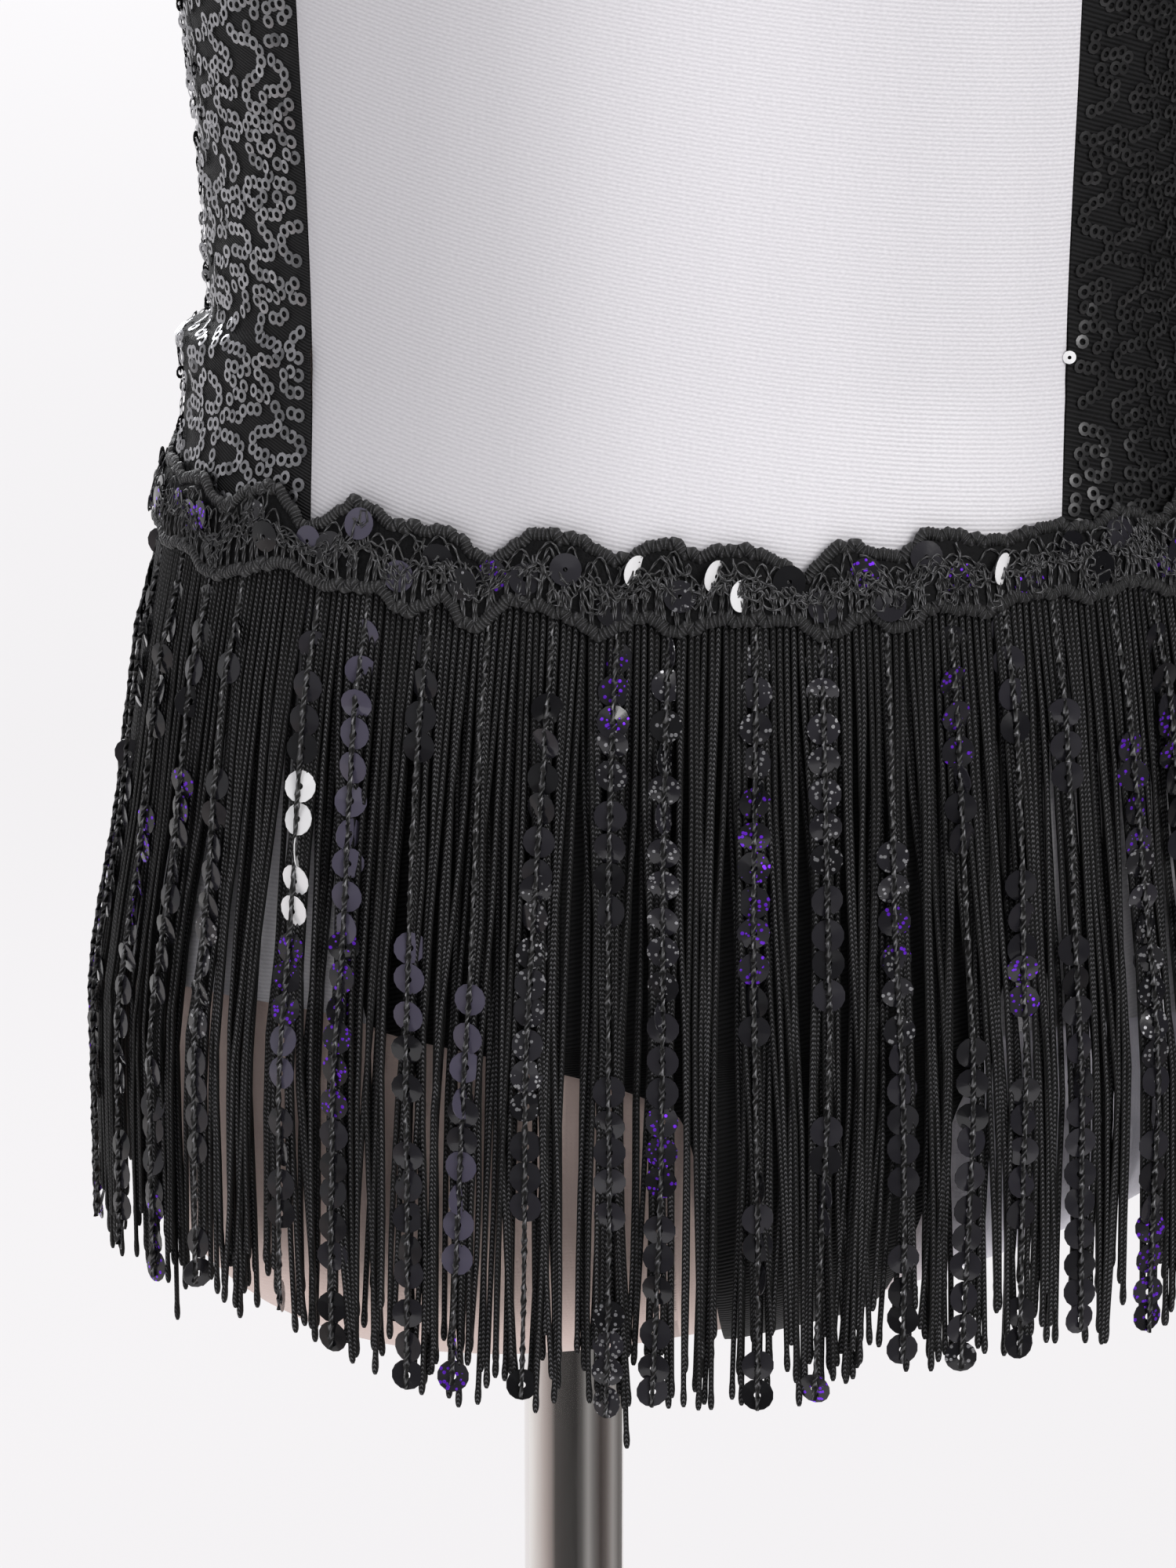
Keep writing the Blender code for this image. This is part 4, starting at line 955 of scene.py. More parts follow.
    def girth(self, height: float) -> tuple[Array, Array]:
        """Angles round the torso from the back, and how far round each one is in metres."""
        angle = np.linspace(-math.pi, math.pi, 2881)
        ring = self.at_angle(angle, height)
        step = np.linalg.norm(np.diff(ring, axis=0), axis=1)
        return angle, np.append(0, np.cumsum(step))

    def folds(self, points: Array) -> Array:
        """How far the bodice stands out in its folds, each a smooth mound that is steeper above."""
        angle = np.arctan2(points[..., 0], -points[..., 1])
        total = np.zeros(points.shape[:-1])
        for fold in FOLDS:
            turn = np.angle(np.exp(1j * (angle - fold.angle)))
            above = (points[..., 2] - fold.height - fold.slant * turn) / fold.half_height
            above = np.where(above > 0, above * fold.top, above * fold.foot)
            total += fold.depth * np.exp(-((turn / fold.half_angle) ** 2)) * np.exp(-(above**2))
        return total

    def place(self, points: Array) -> Array:
        """Points about the torso's axis, moved to the model's frame."""
        return points + np.array([self.axis_x, 0.0, 0.0])


# ---- cloth


@dataclass
class Cloth:
    """A cut piece as it is worn: a thin wall over a grid of points on the form."""

    torso: Torso
    name: str
    skin: Array
    present: Array | None = None
    folded: bool = False
    clearance: float = 0.0010
    thickness: float = 0.0012
    seam_depth: float = 0.0004
    seam_width: float = 0.0016
    stretch: float = 1.05

    def __post_init__(self) -> None:
        """Works out the outer and inner faces, their normals and the flat places."""
        out = self.torso.outward(self.skin)
        fold = self.torso.folds(self.skin) if self.folded else 0.0 * self.skin[..., 0]
        near = self.clearance + fold
        outer = self.skin + out * (near + self.thickness)[..., None]
        self.flat = self.flat_places(outer)
        self.outer = self.skin + out * (near + self.thickness - self.edge_roll())[..., None]
        self.inner = self.skin + out * near[..., None]
        normal = np.cross(np.gradient(self.outer, axis=1), np.gradient(self.outer, axis=0))
        self.flipped = float((normal * out).sum()) < 0
        self.normal = unit(-normal if self.flipped else normal)

    def flat_places(self, outer: Array) -> Array:
        """How far each point is from the middle column, and how far along that column it is."""
        middle = outer.shape[1] // 2
        across = np.linalg.norm(np.diff(outer, axis=1), axis=2)
        u = np.concatenate([np.zeros((len(outer), 1)), np.cumsum(across, axis=1)], axis=1)
        u = u - u[:, [middle]]
        along = np.linalg.norm(np.diff(outer[:, middle], axis=0), axis=1)
        v = np.concatenate([[0.0], np.cumsum(along)])
        return np.stack([u, np.broadcast_to(v[:, None], u.shape)], axis=-1)

    def edge_roll(self) -> Array:
        """How far the outer face falls towards the seams at its sides."""
        u = self.flat[..., 0]
        inside = np.minimum(u - u[:, :1], u[:, -1:] - u)
        return self.seam_depth * np.exp(-((inside / self.seam_width) ** 2))

    def wall(self) -> Part:
        """The outer face, the inner face and the rim between them."""
        rows, columns = self.outer.shape[:2]
        cells = grid_quads(rows, columns)
        cells = cells.reshape(-1, 4) if self.present is None else cells[self.present]
        if self.flipped:
            cells = cells[:, ::-1]
        under = rows * columns
        starts, ends = cells.ravel(), np.roll(cells, -1, axis=1).ravel()
        open_edge = ~np.isin(starts * under + ends, ends * under + starts)
        a, b = starts[open_edge], ends[open_edge]
        rim = np.stack([b, a, a + under, b + under], axis=1)
        faces = np.concatenate([cells, cells[:, ::-1] + under, rim])
        used, packed = np.unique(faces, return_inverse=True)
        points = np.concatenate([self.outer.reshape(-1, 3), self.inner.reshape(-1, 3)])[used]
        flat = np.concatenate([self.flat.reshape(-1, 2)] * 2)[used]
        return Part.of(self.torso.place(points), [packed.reshape(faces.shape)], flat)

    def area(self) -> float:
        """The area of the outer face."""
        down, over = np.diff(self.outer, axis=0)[:, :-1], np.diff(self.outer, axis=1)[:-1]
        cell = np.linalg.norm(np.cross(down, over), axis=2)
        return float(cell.sum() if self.present is None else cell[self.present].sum())

    def at(self, u: Array, v: Array) -> tuple[Array, Array, Array]:
        """Places on the outer face.

        Args:
            u: flat places across, from the middle column.
            v: flat places along.

        Returns:
            The points, their normals and how far inside the side edges each one is.
        """
        rows = self.flat[:, 0, 1]
        row = np.interp(v, rows, np.arange(len(rows)))
        left = np.interp(row, np.arange(len(rows)), self.flat[:, 0, 0])
        right = np.interp(row, np.arange(len(rows)), self.flat[:, -1, 0])
        share = (u - left) / (right - left)
        middle = self.flat[len(rows) // 2, :, 0]
        column = np.interp(share, (middle - middle[0]) / (middle[-1] - middle[0]), np.arange(len(middle)))
        points, normals = sample(self.outer, row, column), unit(sample(self.normal, row, column))
        inside = np.minimum(np.minimum(u - left, right - u), np.minimum(v - rows[0], rows[-1] - v))
        if self.present is not None:
            cell_row = np.clip(row.astype(int), 0, self.present.shape[0] - 1)
            cell_column = np.clip(column.astype(int), 0, self.present.shape[1] - 1)
            inside = np.where(self.present[cell_row, cell_column], inside, -1.0)
        return points, normals, inside

    def make(self, finish: Finish, slot: str) -> Made:
        """Builds the piece in place of its solid and says what it was cut from."""
        made = self.wall().build(self.name + "_cloth", finish, slot)
        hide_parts(self.name)
        width = float(np.ptp(self.flat[..., 0], axis=1).max()) / self.stretch
        length = float(self.flat[-1, 0, 1]) / self.stretch
        area = min(self.area() / self.stretch**2, width * length)
        LOG.info("%s: cut %.0f x %.0f mm, %.4f m2", self.name, width * 1000, length * 1000, area)
        return made


def between(start: Array, end: Array, count: int) -> Array:
    """Columns from one edge of a piece to the other, closer together towards the edges."""
    even = np.linspace(0, 1, count + 1)
    share = 0.5 * even + 0.5 * (0.5 - 0.5 * np.cos(math.pi * even))
    return np.asarray(start)[..., None] * (1 - share) + np.asarray(end)[..., None] * share


class StrapRow(NamedTuple):
    """A row across a shoulder strap: its neck end and its armhole end."""

    neck_height: float
    neck_x: float
    arm_height: float
    arm_x: float


@dataclass
class Bodice:
    """The front panel, the two side fronts and the back, from the hip seam to the straps."""

    torso: Torso
    seam_gap: float = 0.0003
    seam_height: float = 0.9460
    seam_rise: float = 0.0020
    underarm: float = 1.215
    side_angle: float = math.pi / 2
    strap_inner_x: float = 0.078
    strap_outer_x: float = 0.126
    back_foot_x: float = 0.0755
    neck_front: float = 1.272
    neck_corner: float = 1.290
    neck_rows: tuple = (1.240, 1.266)
    neck_back: float = 1.290
    neck_back_dip: float = 0.014
    stray_height: float = 0.9987
    stray_radius: float = 0.0017
    stray_off: float = 0.0031
    stray_yaw: float = -0.5
    finer: int = 5
    front_columns: int = 60
    side_columns: int = 34
    back_middle_columns: int = 44
    back_strap_columns: int = 22
    shares: tuple = (0.78, 0.55, 0.28, 0.0)
    rows: tuple = (0.956, 0.966, 0.974, 0.982, 0.990, 0.999, 1.010, 1.028, 1.052, 1.082, 1.115, 1.150, 1.184)
    # the panel's half width at heights
    panel_edge: tuple = (
        (0.830, 0.0800), (0.850, 0.0850), (0.900, 0.0915), (0.946, 0.0942), (1.000, 0.0942),
        (1.090, 0.0958), (1.180, 0.0965), (1.240, 0.0900), (1.290, 0.0820),
    )
    # places on the armhole just above the side seam: the height across, its own height and its y
    underarm_steps: tuple = ((1.2205, 1.2162, 0.016), (1.2290, 1.2215, 0.031))
    front_strap: tuple = (
        StrapRow(1.240, 0.0900, 1.2330, 0.1385),
        StrapRow(1.266, 0.0855, 1.256, 0.1310),
        StrapRow(1.290, 0.0820, 1.278, 0.1270),
        StrapRow(1.316, 0.0790, 1.303, 0.1245),
        StrapRow(1.341, 0.0770, 1.328, 0.1245),
        StrapRow(1.363, 0.0765, 1.348, 0.1250),
        StrapRow(1.381, 0.0770, 1.364, 0.1255),
    )
    back_strap: tuple = (
        StrapRow(1.240, 0.0740, 1.238, 0.1400),
        StrapRow(1.264, 0.0720, 1.262, 0.1330),
        StrapRow(1.290, 0.0715, 1.284, 0.1290),
        StrapRow(1.314, 0.0745, 1.306, 0.1265),
        StrapRow(1.339, 0.0765, 1.330, 0.1255),
        StrapRow(1.362, 0.0770, 1.349, 0.1255),
        StrapRow(1.381, 0.0775, 1.364, 0.1258),
    )

    def edge_x(self, height: Array) -> Array:
        """Half the front panel's width at a height."""
        table = np.array(self.panel_edge)
        return smooth_curve(table[:, 0], table[:, 1], height)

    def half_gap(self, x: Array, height: Array) -> Array:
        """Half the gap at an upright seam in front, as an angle."""
        return self.seam_gap / 2 / np.hypot(x, self.torso.depth_at(x, height, -1.0))

    def side_seam(self, height: Array) -> Array:
        """The angle of a front piece's edge at the side seam."""
        return self.side_angle - self.seam_gap / 2 / self.torso.half_width(height)

    def hip_seam(self, angle: Array) -> Array:
        """The height of the seam round the hip."""
        return self.seam_height + self.seam_rise * np.sin(angle) ** 2

    def strap_edge(self, edge: list, x: float, height: float, y_sign: float) -> None:
        """Carries an edge of (angle from the middle in front or behind, height) over the shoulder."""
        for share in self.shares:
            turn, rise = self.torso.over_shoulder(x, height, share, y_sign, self.seam_gap / 2)
            edge.append((turn if y_sign < 0 else math.pi - turn, rise))

    def seat(self, height: Array, angle: Array) -> None:
        """Sets a piece's lowest rows between the hip seam and the first row above it."""
        share = np.linspace(0, 1, self.finer + 1)[:-1, None]
        foot = self.hip_seam(angle[0]) + self.seam_gap / 2
        height[:self.finer] = foot * (1 - share) + height[self.finer] * share

    def front_panel(self) -> Cloth:
        """The white panel, with a scooped neckline."""
        over_arm = [step[0] for step in self.underarm_steps]
        rows = [self.seam_height, *self.rows, self.underarm, *over_arm, *self.neck_rows, self.neck_corner]
        rows = np.array(rows)
        edge = self.edge_x(rows)
        turn = refine(self.torso.angle_at(edge, rows) - self.half_gap(edge, rows), self.finer)
        height = refine(rows, self.finer)
        angle = between(-turn, turn, self.front_columns)
        across = angle / turn[:, None]
        reach = np.clip((height - self.underarm) / (self.neck_corner - self.underarm), 0, 1)
        scoop = (self.neck_corner - self.neck_front) * (1 - across**2) * reach[:, None]
        z = height[:, None] - scoop
        self.seat(z, angle)
        return Cloth(self.torso, "front_panel", self.torso.at_angle(angle, z))

    def side_front(self, name: str, side: int) -> Cloth:
        """A black side front, from the panel to the side seam and up into the strap.

        Args:
            name: the piece's name.
            side: 1 towards +X and -1 away from it.

        Returns:
            The cloth, its columns in order of angle.
        """
        torso = self.torso
        rows = np.array([self.seam_height, *self.rows, self.underarm])
        edge = self.edge_x(rows)
        inner = list(zip(torso.angle_at(edge, rows) + self.half_gap(edge, rows), rows))
        outer = list(zip(self.side_seam(rows), rows))
        for across, arm, y in self.underarm_steps:
            x = float(self.edge_x(across))
            inner.append((float(torso.angle_at(x, across) + self.half_gap(x, across)), across))
            outer.append((math.atan2(torso.width_at(-y, arm), y), arm))
        for strap in self.front_strap:
            seamed = strap.neck_height < self.neck_corner + self.seam_gap
            gap = self.half_gap(strap.neck_x, strap.neck_height) if seamed else 0.0
            inner.append((float(torso.angle_at(strap.neck_x, strap.neck_height) + gap), strap.neck_height))
            outer.append((float(torso.angle_at(strap.arm_x, strap.arm_height)), strap.arm_height))
        top = self.front_strap[-1]
        self.strap_edge(inner, self.strap_inner_x, top.neck_height, -1.0)
        self.strap_edge(outer, self.strap_outer_x, top.arm_height, -1.0)
        near, far = refine(np.array(inner), self.finer), refine(np.array(outer), self.finer)
        angle = between(near[:, 0], far[:, 0], self.side_columns)
        height = between(near[:, 1], far[:, 1], self.side_columns)
        self.seat(height, angle)
        skin = torso.at_angle(side * angle, height)
        return Cloth(torso, name, skin if side > 0 else skin[:, ::-1], folded=True)

    def back_panel(self) -> Cloth:
        """The black back: one piece with an armhole each side and a scooped neckline."""
        torso = self.torso
        rows = np.array([self.seam_height, *self.rows, self.underarm])
        arm = list(zip(self.side_seam(rows), rows))
        neck = list(zip(math.pi - torso.angle_at(np.full_like(rows, self.back_foot_x), rows, 1.0), rows))
        for across, height, y in self.underarm_steps:
            arm.append((math.atan2(torso.width_at(y, height), y), height))
            neck.append((float(math.pi - torso.angle_at(self.back_foot_x, across, 1.0)), across))
        for strap in self.back_strap:
            turn = torso.angle_at(strap.arm_x, strap.arm_height, 1.0)
            arm.append((float(math.pi - turn), strap.arm_height))
            turn = torso.angle_at(strap.neck_x, strap.neck_height, 1.0)
            neck.append((float(math.pi - turn), strap.neck_height))
        top = self.back_strap[-1]
        self.strap_edge(arm, self.strap_outer_x, top.arm_height, 1.0)
        self.strap_edge(neck, self.strap_inner_x, top.neck_height, 1.0)
        arm, neck = refine(np.array(arm), self.finer), refine(np.array(neck), self.finer)
        left = between(-arm[:, 0], -neck[:, 0], self.back_strap_columns)
        middle = between(-neck[:, 0], neck[:, 0], self.back_middle_columns)
        right = between(neck[:, 0], arm[:, 0], self.back_strap_columns)
        from_back = np.hstack([left, middle[:, 1:-1], right])
        strap_height = between(arm[:, 1], neck[:, 1], self.back_strap_columns)
        across = middle / neck[:, :1]
        reach = np.clip((neck[:, 1] - self.underarm) / (self.neck_back - self.underarm), 0, 1)
        dip = self.neck_back_dip * (1 - across**2) * reach[:, None]
        height = np.hstack([strap_height, (neck[:, 1:] - dip)[:, 1:-1], strap_height[:, ::-1]])
        angle = math.pi - from_back
        self.seat(height, angle)
        present = np.ones((height.shape[0] - 1, height.shape[1] - 1), bool)
        neck_row = (len(rows) + len(self.underarm_steps) + 2) * self.finer
        present[neck_row:, self.back_strap_columns:-self.back_strap_columns] = False
        return Cloth(torso, "back_panel", torso.at_angle(angle, height)[:, ::-1], present, folded=True)

    def stray_sequin(self) -> Made:
        """One white sequin caught in the seam at the right of the front panel."""
        height = np.array([self.stray_height])
        skin = self.torso.at_angle(self.torso.angle_at(self.edge_x(height), height), height)
        out = self.torso.outward(skin)
        centre = self.torso.place(skin + out * self.stray_off)
        out = facing(out, np.array([self.stray_yaw]), np.zeros(1))
        part = washers(centre, out, self.stray_radius, 0.0005, 16, 0.0002, 0.5, WHITE_AND_PAINTED_GLINT.value, 0.0002)
        return part.build("stray_sequin", SEQUIN_FILM, "sequin_gloss")

    def build(self) -> list[Made]:
        """Builds the four pieces and sews the ring sequins to the black ones."""
        made = [self.front_panel().make(SATIN, "white_satin")]
        rings = RingSequins(self.torso)
        pieces = (
            (self.side_front("side_front_left", -1), FINE_TWILL, 11),
            (self.side_front("side_front_right", 1), TWILL, 12),
            (self.back_panel(), FINE_TWILL, 13),
        )
        for cloth, finish, seed in pieces:
            made.append(cloth.make(finish, "sequin_twill"))
            made.append(rings.sew(cloth, seed))
        made.append(self.stray_sequin())
        return made


@dataclass
class RingSequins:
    """Small ring sequins, chained in meanders over the black cloth.

    A chain heads down the cloth and swings from side to side: its direction from straight down
    is swing sin(phase), where the phase grows by a full turn each wave of the chain's length.
    """

    torso: Torso
    outer: float = 0.00182
    hole: float = 0.00086
    spacing: float = 0.0027
    strip: float = 0.0118
    wave: float = 0.0262
    swing: float = math.radians(98)
    clear: float = 0.0031
    stand_off: float = 0.0005
    sides: int = 10
    # rings are darkened by painted shade at the right of the front: from this x on, over this width and
    # depth
    painted_shade_from: float = 0.060
    painted_shade_within: float = 0.020
    painted_shade_depth: float = 0.050
    # lengths over which a chain's waves and heading change, and how much they do
    slow_waves: tuple = (0.083, 0.051)
    other_waves: tuple = (0.067, 0.109)
    wave_change: float = 0.17
    swing_change: float = 0.14
    drift: float = 0.22
    straight_share: float = 0.30
    centring: float = 0.8
    # where the cloth turns away at the left, rings tilt more and stand further off
    turned_from: float = 0.86
    yaw: float = 0.07
    turned_yaw: float = 0.22
    nod: float = 0.07
    loose: float = 0.0003

    def chain(self, middle: float, length: float, chance: np.random.Generator) -> Array:
        """One chain's ring centres on the flat cloth, as rows of places across and down.

        Args:
            middle: the chain's middle, across the cloth.
            length: how far down it reaches.
            chance: the source of chance.

        Returns:
            The centres, in order.
        """
        s = np.arange(int(length / self.straight_share / self.spacing)) * self.spacing
        phase = chance.uniform(0, TAU, 5)
        slow = sum(np.sin(TAU * s / wave + start) for wave, start in zip(self.slow_waves, phase))
        other = sum(np.sin(TAU * s / wave + start) for wave, start in zip(self.other_waves, phase[2:]))
        wave = self.wave * (1 + self.wave_change * slow)
        turn = np.cumsum(TAU * self.spacing / wave) + phase[4]
        heading = self.swing * (1 + self.swing_change * other) * np.sin(turn) + self.drift * slow
        u, v = (np.cumsum(turned) * self.spacing for turned in (np.sin(heading), np.cos(heading)))
        wide = np.convolve(np.pad(u, 20, mode="edge"), np.ones(41) / 41, mode="valid")
        return np.stack([u - self.centring * wide + middle, v - chance.uniform(0, 0.02)], axis=1)

    def apart(self, chain: Array, laid: Array) -> Array:
        """The rings of a chain that stay clear of those laid before it and of its own earlier ones."""
        gap = np.linalg.norm(chain[:, None] - laid[None], axis=2).min(axis=1)
        own = np.linalg.norm(chain[:, None] - chain[None], axis=2)
        order = np.arange(len(chain))
        own[order[:, None] - order[None] < 3] = 1.0
        return (gap > self.clear) & (own.min(axis=1) > self.clear)

    def sew(self, cloth: Cloth, seed: int) -> Made:
        """Lays the chains on a cloth, clear of its seams."""
        chance = np.random.default_rng(seed)
        low, high, length = cloth.flat[..., 0].min(), cloth.flat[..., 0].max(), cloth.flat[-1, 0, 1]
        laid = np.array([[1.0, 1.0]])
        for step in range(int((high - low) / self.strip) + 2):
            chain = self.chain(low + (step + chance.uniform(-0.1, 0.1)) * self.strip, length, chance)
            laid = np.concatenate([laid, chain[self.apart(chain, laid[-2 * len(chain):])]])
        points, normals, inside = cloth.at(laid[:, 0], length - laid[:, 1])
        kept = inside > self.outer * 1.1
        points, normals = points[kept], normals[kept]
        beyond = 1 - self.turned_from
        turned = np.clip(-normals[:, 0] - self.turned_from, 0, beyond) / beyond
        yaw = chance.normal(0, 1, len(points)) * (self.yaw + self.turned_yaw * turned)
        nod = chance.normal(0.02, self.nod, len(points))
        out = facing(normals, yaw, nod, unit(UP - normals * normals[:, 2:]))
        off = self.stand_off + chance.uniform(0, self.loose, len(points)) + self.loose * turned
        centres = self.torso.place(points + normals * off[:, None])
        tint = np.clip(chance.normal(0.5, 0.2, len(points)), 0, 1)
        # painted shade: rings at the right of the front go towards near black
        aside = np.clip((points[:, 0] - self.painted_shade_from) / self.painted_shade_within, 0, 1)
        painted_shade = aside * np.clip(-points[:, 1] / self.painted_shade_depth, 0, 1)
        part = washers(centres, out, self.outer, self.hole, self.sides, 0.0001, tint, painted_shade)
        return part.build(cloth.name + "_ring_sequins", RING_FILM, "sequin_gloss")


class BriefRow(NamedTuple):
    """A row across the brief: its run from the front waist, and its two ends."""

    run: float
    left_x: float
    right_x: float


@dataclass
class Brief:
    """The brief under the fringe: a black front and back and two white sides."""

    bodice: Bodice
    finer: int = 4
    front_columns: int = 30
    side_columns: int = 16
    back_columns: int = 44
    leg_top: float = 0.022
    leg_crest: float = 0.006
    front_rises: tuple = (0.120, 0.098, 0.075, 0.050, 0.034)
    back_rises: tuple = (0.007, 0.026, 0.050, 0.075, 0.100, 0.122)
    front_rows: tuple = (
        BriefRow(0.0220, -0.0790, 0.0790),
        BriefRow(0.0165, -0.0460, 0.0770),
        BriefRow(0.0100, -0.0140, 0.0740),
        BriefRow(0.0030, 0.0010, 0.0710),
        BriefRow(-0.0080, 0.0050, 0.0680),
        BriefRow(-0.0240, 0.0080, 0.0630),
        BriefRow(-0.0450, 0.0100, 0.0560),
        BriefRow(-0.0700, 0.0110, 0.0490),
        BriefRow(-0.0950, 0.0110, 0.0460),
        BriefRow(-0.1250, 0.0110, 0.0450),
        BriefRow(-0.1570, 0.0110, 0.0450),
    )
    back_rows: tuple = (
        BriefRow(-0.1570, 0.0110, 0.0450),
        BriefRow(-0.1740, 0.0100, 0.0460),
        BriefRow(-0.1880, 0.0080, 0.0480),
        BriefRow(-0.2000, 0.0040, 0.0515),
        BriefRow(-0.2120, -0.0030, 0.0575),
        BriefRow(-0.2240, -0.0120, 0.0650),
        BriefRow(-0.2370, -0.0240, 0.0750),
        BriefRow(-0.2500, -0.0400, 0.0870),
        BriefRow(-0.2640, -0.0590, 0.1000),
        BriefRow(-0.2780, -0.0780, 0.1130),
        BriefRow(-0.2910, -0.0950, 0.1240),
        BriefRow(-0.3020, -0.1110, 0.1340),
        BriefRow(-0.3100, -0.1260, 0.1430),
        BriefRow(-0.3160, -0.1390, 0.1495),
        BriefRow(-0.3182, -0.1478, 0.1526),
        BriefRow(-0.3200, -0.1527, 0.1542),
    )

    def front(self) -> Cloth:
        """The black front, as wide as the panel above it and narrowing to the crotch."""
        cut, torso = self.bodice, self.bodice.torso
        half = cut.seam_gap / 2
        runs = np.array([cut.seam_height - torso.hip, *self.front_rises])
        edge = cut.edge_x(torso.hip + runs) - half
        rows = np.concatenate([
            np.stack([runs, -edge, edge], axis=1),
            np.array(self.front_rows) + [0.0, half, -half],
        ])
        rows = refine(rows, self.finer)
        x = between(rows[:, 1], rows[:, 2], self.front_columns)
        run = np.broadcast_to(rows[:, :1], x.shape).copy()
        run[0] = cut.hip_seam(torso.angle_at(x[0], cut.seam_height)) - half - torso.hip
        run[-1] += half
        return Cloth(torso, "brief_front", torso.brief_point(x, run))

    def side(self, name: str, side: int) -> Cloth:
        """A white side, from the front's seam to the side seam, cut high over the leg."""
        cut, torso = self.bodice, self.bodice.torso
        seam_run = np.array([cut.seam_height - torso.hip, *self.front_rises, self.leg_top])
        seam_x = cut.edge_x(torso.hip + seam_run)
        seam_x[-1] = self.front_rows[0].right_x
        height = torso.hip + seam_run
        turn = torso.angle_at(seam_x, height) + cut.half_gap(seam_x, height)
        near = refine(np.stack([turn, height], 1), self.finer)
        share = np.linspace(0, 1, len(near))
        far_height = cut.seam_height + (torso.hip + self.back_rises[0] - cut.seam_height) * share
        angle = between(near[:, 0], cut.side_seam(far_height), self.side_columns)
        z = between(near[:, 1], far_height, self.side_columns)
        across = np.linspace(0, 1, self.side_columns + 1)
        z += self.leg_crest * share[:, None] ** 2 * 4 * across * (1 - across)
        z[0] = cut.hip_seam(angle[0]) - cut.seam_gap / 2
        skin = torso.at_angle(side * angle, z)
        return Cloth(torso, name, skin if side > 0 else skin[:, ::-1])

    def back(self) -> Cloth:
        """The black back, from the crotch seam to the hip seam behind."""
        cut, torso = self.bodice, self.bodice.torso
        behind = -math.pi * torso.under_radius
        rises = np.array([*self.back_rises, cut.seam_height - torso.hip])
        reach = torso.half_width(torso.hip + rises)
        rows = np.concatenate([np.array(self.back_rows), np.stack([behind - rises, -reach, reach], axis=1)])
        lower = (len(self.back_rows) - 1) * self.finer
        rows = refine(rows, self.finer)
        middle, half = (rows[:, 1] + rows[:, 2]) / 2, (rows[:, 2] - rows[:, 1]) / 2
        sweep = np.linspace(-math.pi / 2, math.pi / 2, self.back_columns + 1)
        sweep[[0, -1]] *= 1 - cut.seam_gap
        x = middle[:, None] + half[:, None] * np.sin(sweep)
        run = np.broadcast_to(rows[:, :1], x.shape).copy()
        angle = torso.angle_at(x[-1], cut.seam_height, 1.0)
        run[-1] = behind - (cut.hip_seam(angle) - cut.seam_gap / 2 - torso.hip)
        run[0] -= cut.seam_gap / 2
        skin = torso.brief_point(x, run)
        on_side = np.zeros(skin.shape[:2], bool)
        on_side[lower + 1:, [0, -1]] = True
        skin[on_side, 1] += cut.seam_gap / 2
        return Cloth(torso, "brief_back", skin)

    def build(self) -> list[Made]:
        """Builds the four pieces."""
        return [
            self.front().make(TWILL, "black_twill"),
            self.side("brief_side_left", -1).make(SATIN, "white_satin"),
            self.side("brief_side_right", 1).make(SATIN, "white_satin"),
            self.back().make(TWILL, "black_twill"),
        ]


# ---- trim


# The scalloped edges' turning points: (place in one repeat, rise over the mean height), in metres.
UPPER_SCALLOPS = np.array([
    (-0.134, -0.0020), (-0.124, 0.0030), (-0.115, 0.0055), (-0.102, -0.0020), (-0.087, 0.0055),
    (-0.076, 0.0015), (-0.061, 0.0010), (-0.050, -0.0050), (-0.037, 0.0025), (-0.025, 0.0010),
    (-0.016, -0.0030), (-0.003, 0.0015), (0.004, -0.0015), (0.014, 0.0000), (0.024, -0.0020),
    (0.032, -0.0070), (0.042, 0.0005), (0.057, -0.0025), (0.066, 0.0025), (0.084, -0.0005),
    (0.099, 0.0015), (0.110, 0.0000), (0.121, 0.0025), (0.134, -0.0020),
])
LOWER_SCALLOPS = np.array([
    (-0.134, -0.0020), (-0.122, 0.0010), (-0.106, 0.0055), (-0.095, 0.0020), (-0.079, 0.0030),
    (-0.071, -0.0020), (-0.061, 0.0025), (-0.053, -0.0045), (-0.043, 0.0030), (-0.028, 0.0000),
    (-0.020, -0.0040), (-0.009, 0.0005), (0.000, -0.0030), (0.011, 0.0000), (0.030, 0.0000),
    (0.037, -0.0040), (0.049, 0.0010), (0.056, -0.0030), (0.066, 0.0020), (0.078, 0.0000),
    (0.089, 0.0030), (0.100, 0.0030), (0.107, 0.0005), (0.122, 0.0025), (0.134, -0.0020),
])


@dataclass
class Hip:
    """Places round the hip, measured in metres from the middle of the front."""

    torso: Torso
    height: float = 0.9460
    rise: float = 0.0020

    def __post_init__(self) -> None:
        """Measures the girth once."""
        self.angles, lengths = self.torso.girth(self.height)
        self.girth = float(lengths[-1])
        self.places = lengths - self.girth / 2

    def angle(self, place: Array) -> Array:
        """The angle about the axis at a place, which may run on past the middle of the back."""
        wrapped = (np.asarray(place) + self.girth / 2) % self.girth - self.girth / 2
        return np.interp(wrapped, self.places, self.angles)

    def surface(self, place: Array, height: Array, stand_off: Array) -> tuple[Array, Array]:
        """Points that far off the form, and the directions in which they face."""
        skin = self.torso.at_angle(self.angle(place), height)
        out = self.torso.outward(skin)
        return skin + out * np.asarray(stand_off)[..., None], out


def hip_wall(points: Array, place: Array) -> Part:
    """A thin closed wall round the hip, from rows of points round its section."""
    flat = np.stack([np.broadcast_to(place, points.shape[:2]), points[..., 2]], axis=-1)
    faces = grid_quads(len(points), len(place), wrap_rows=True, wrap_columns=True)
    return Part.of(points, [faces], flat)


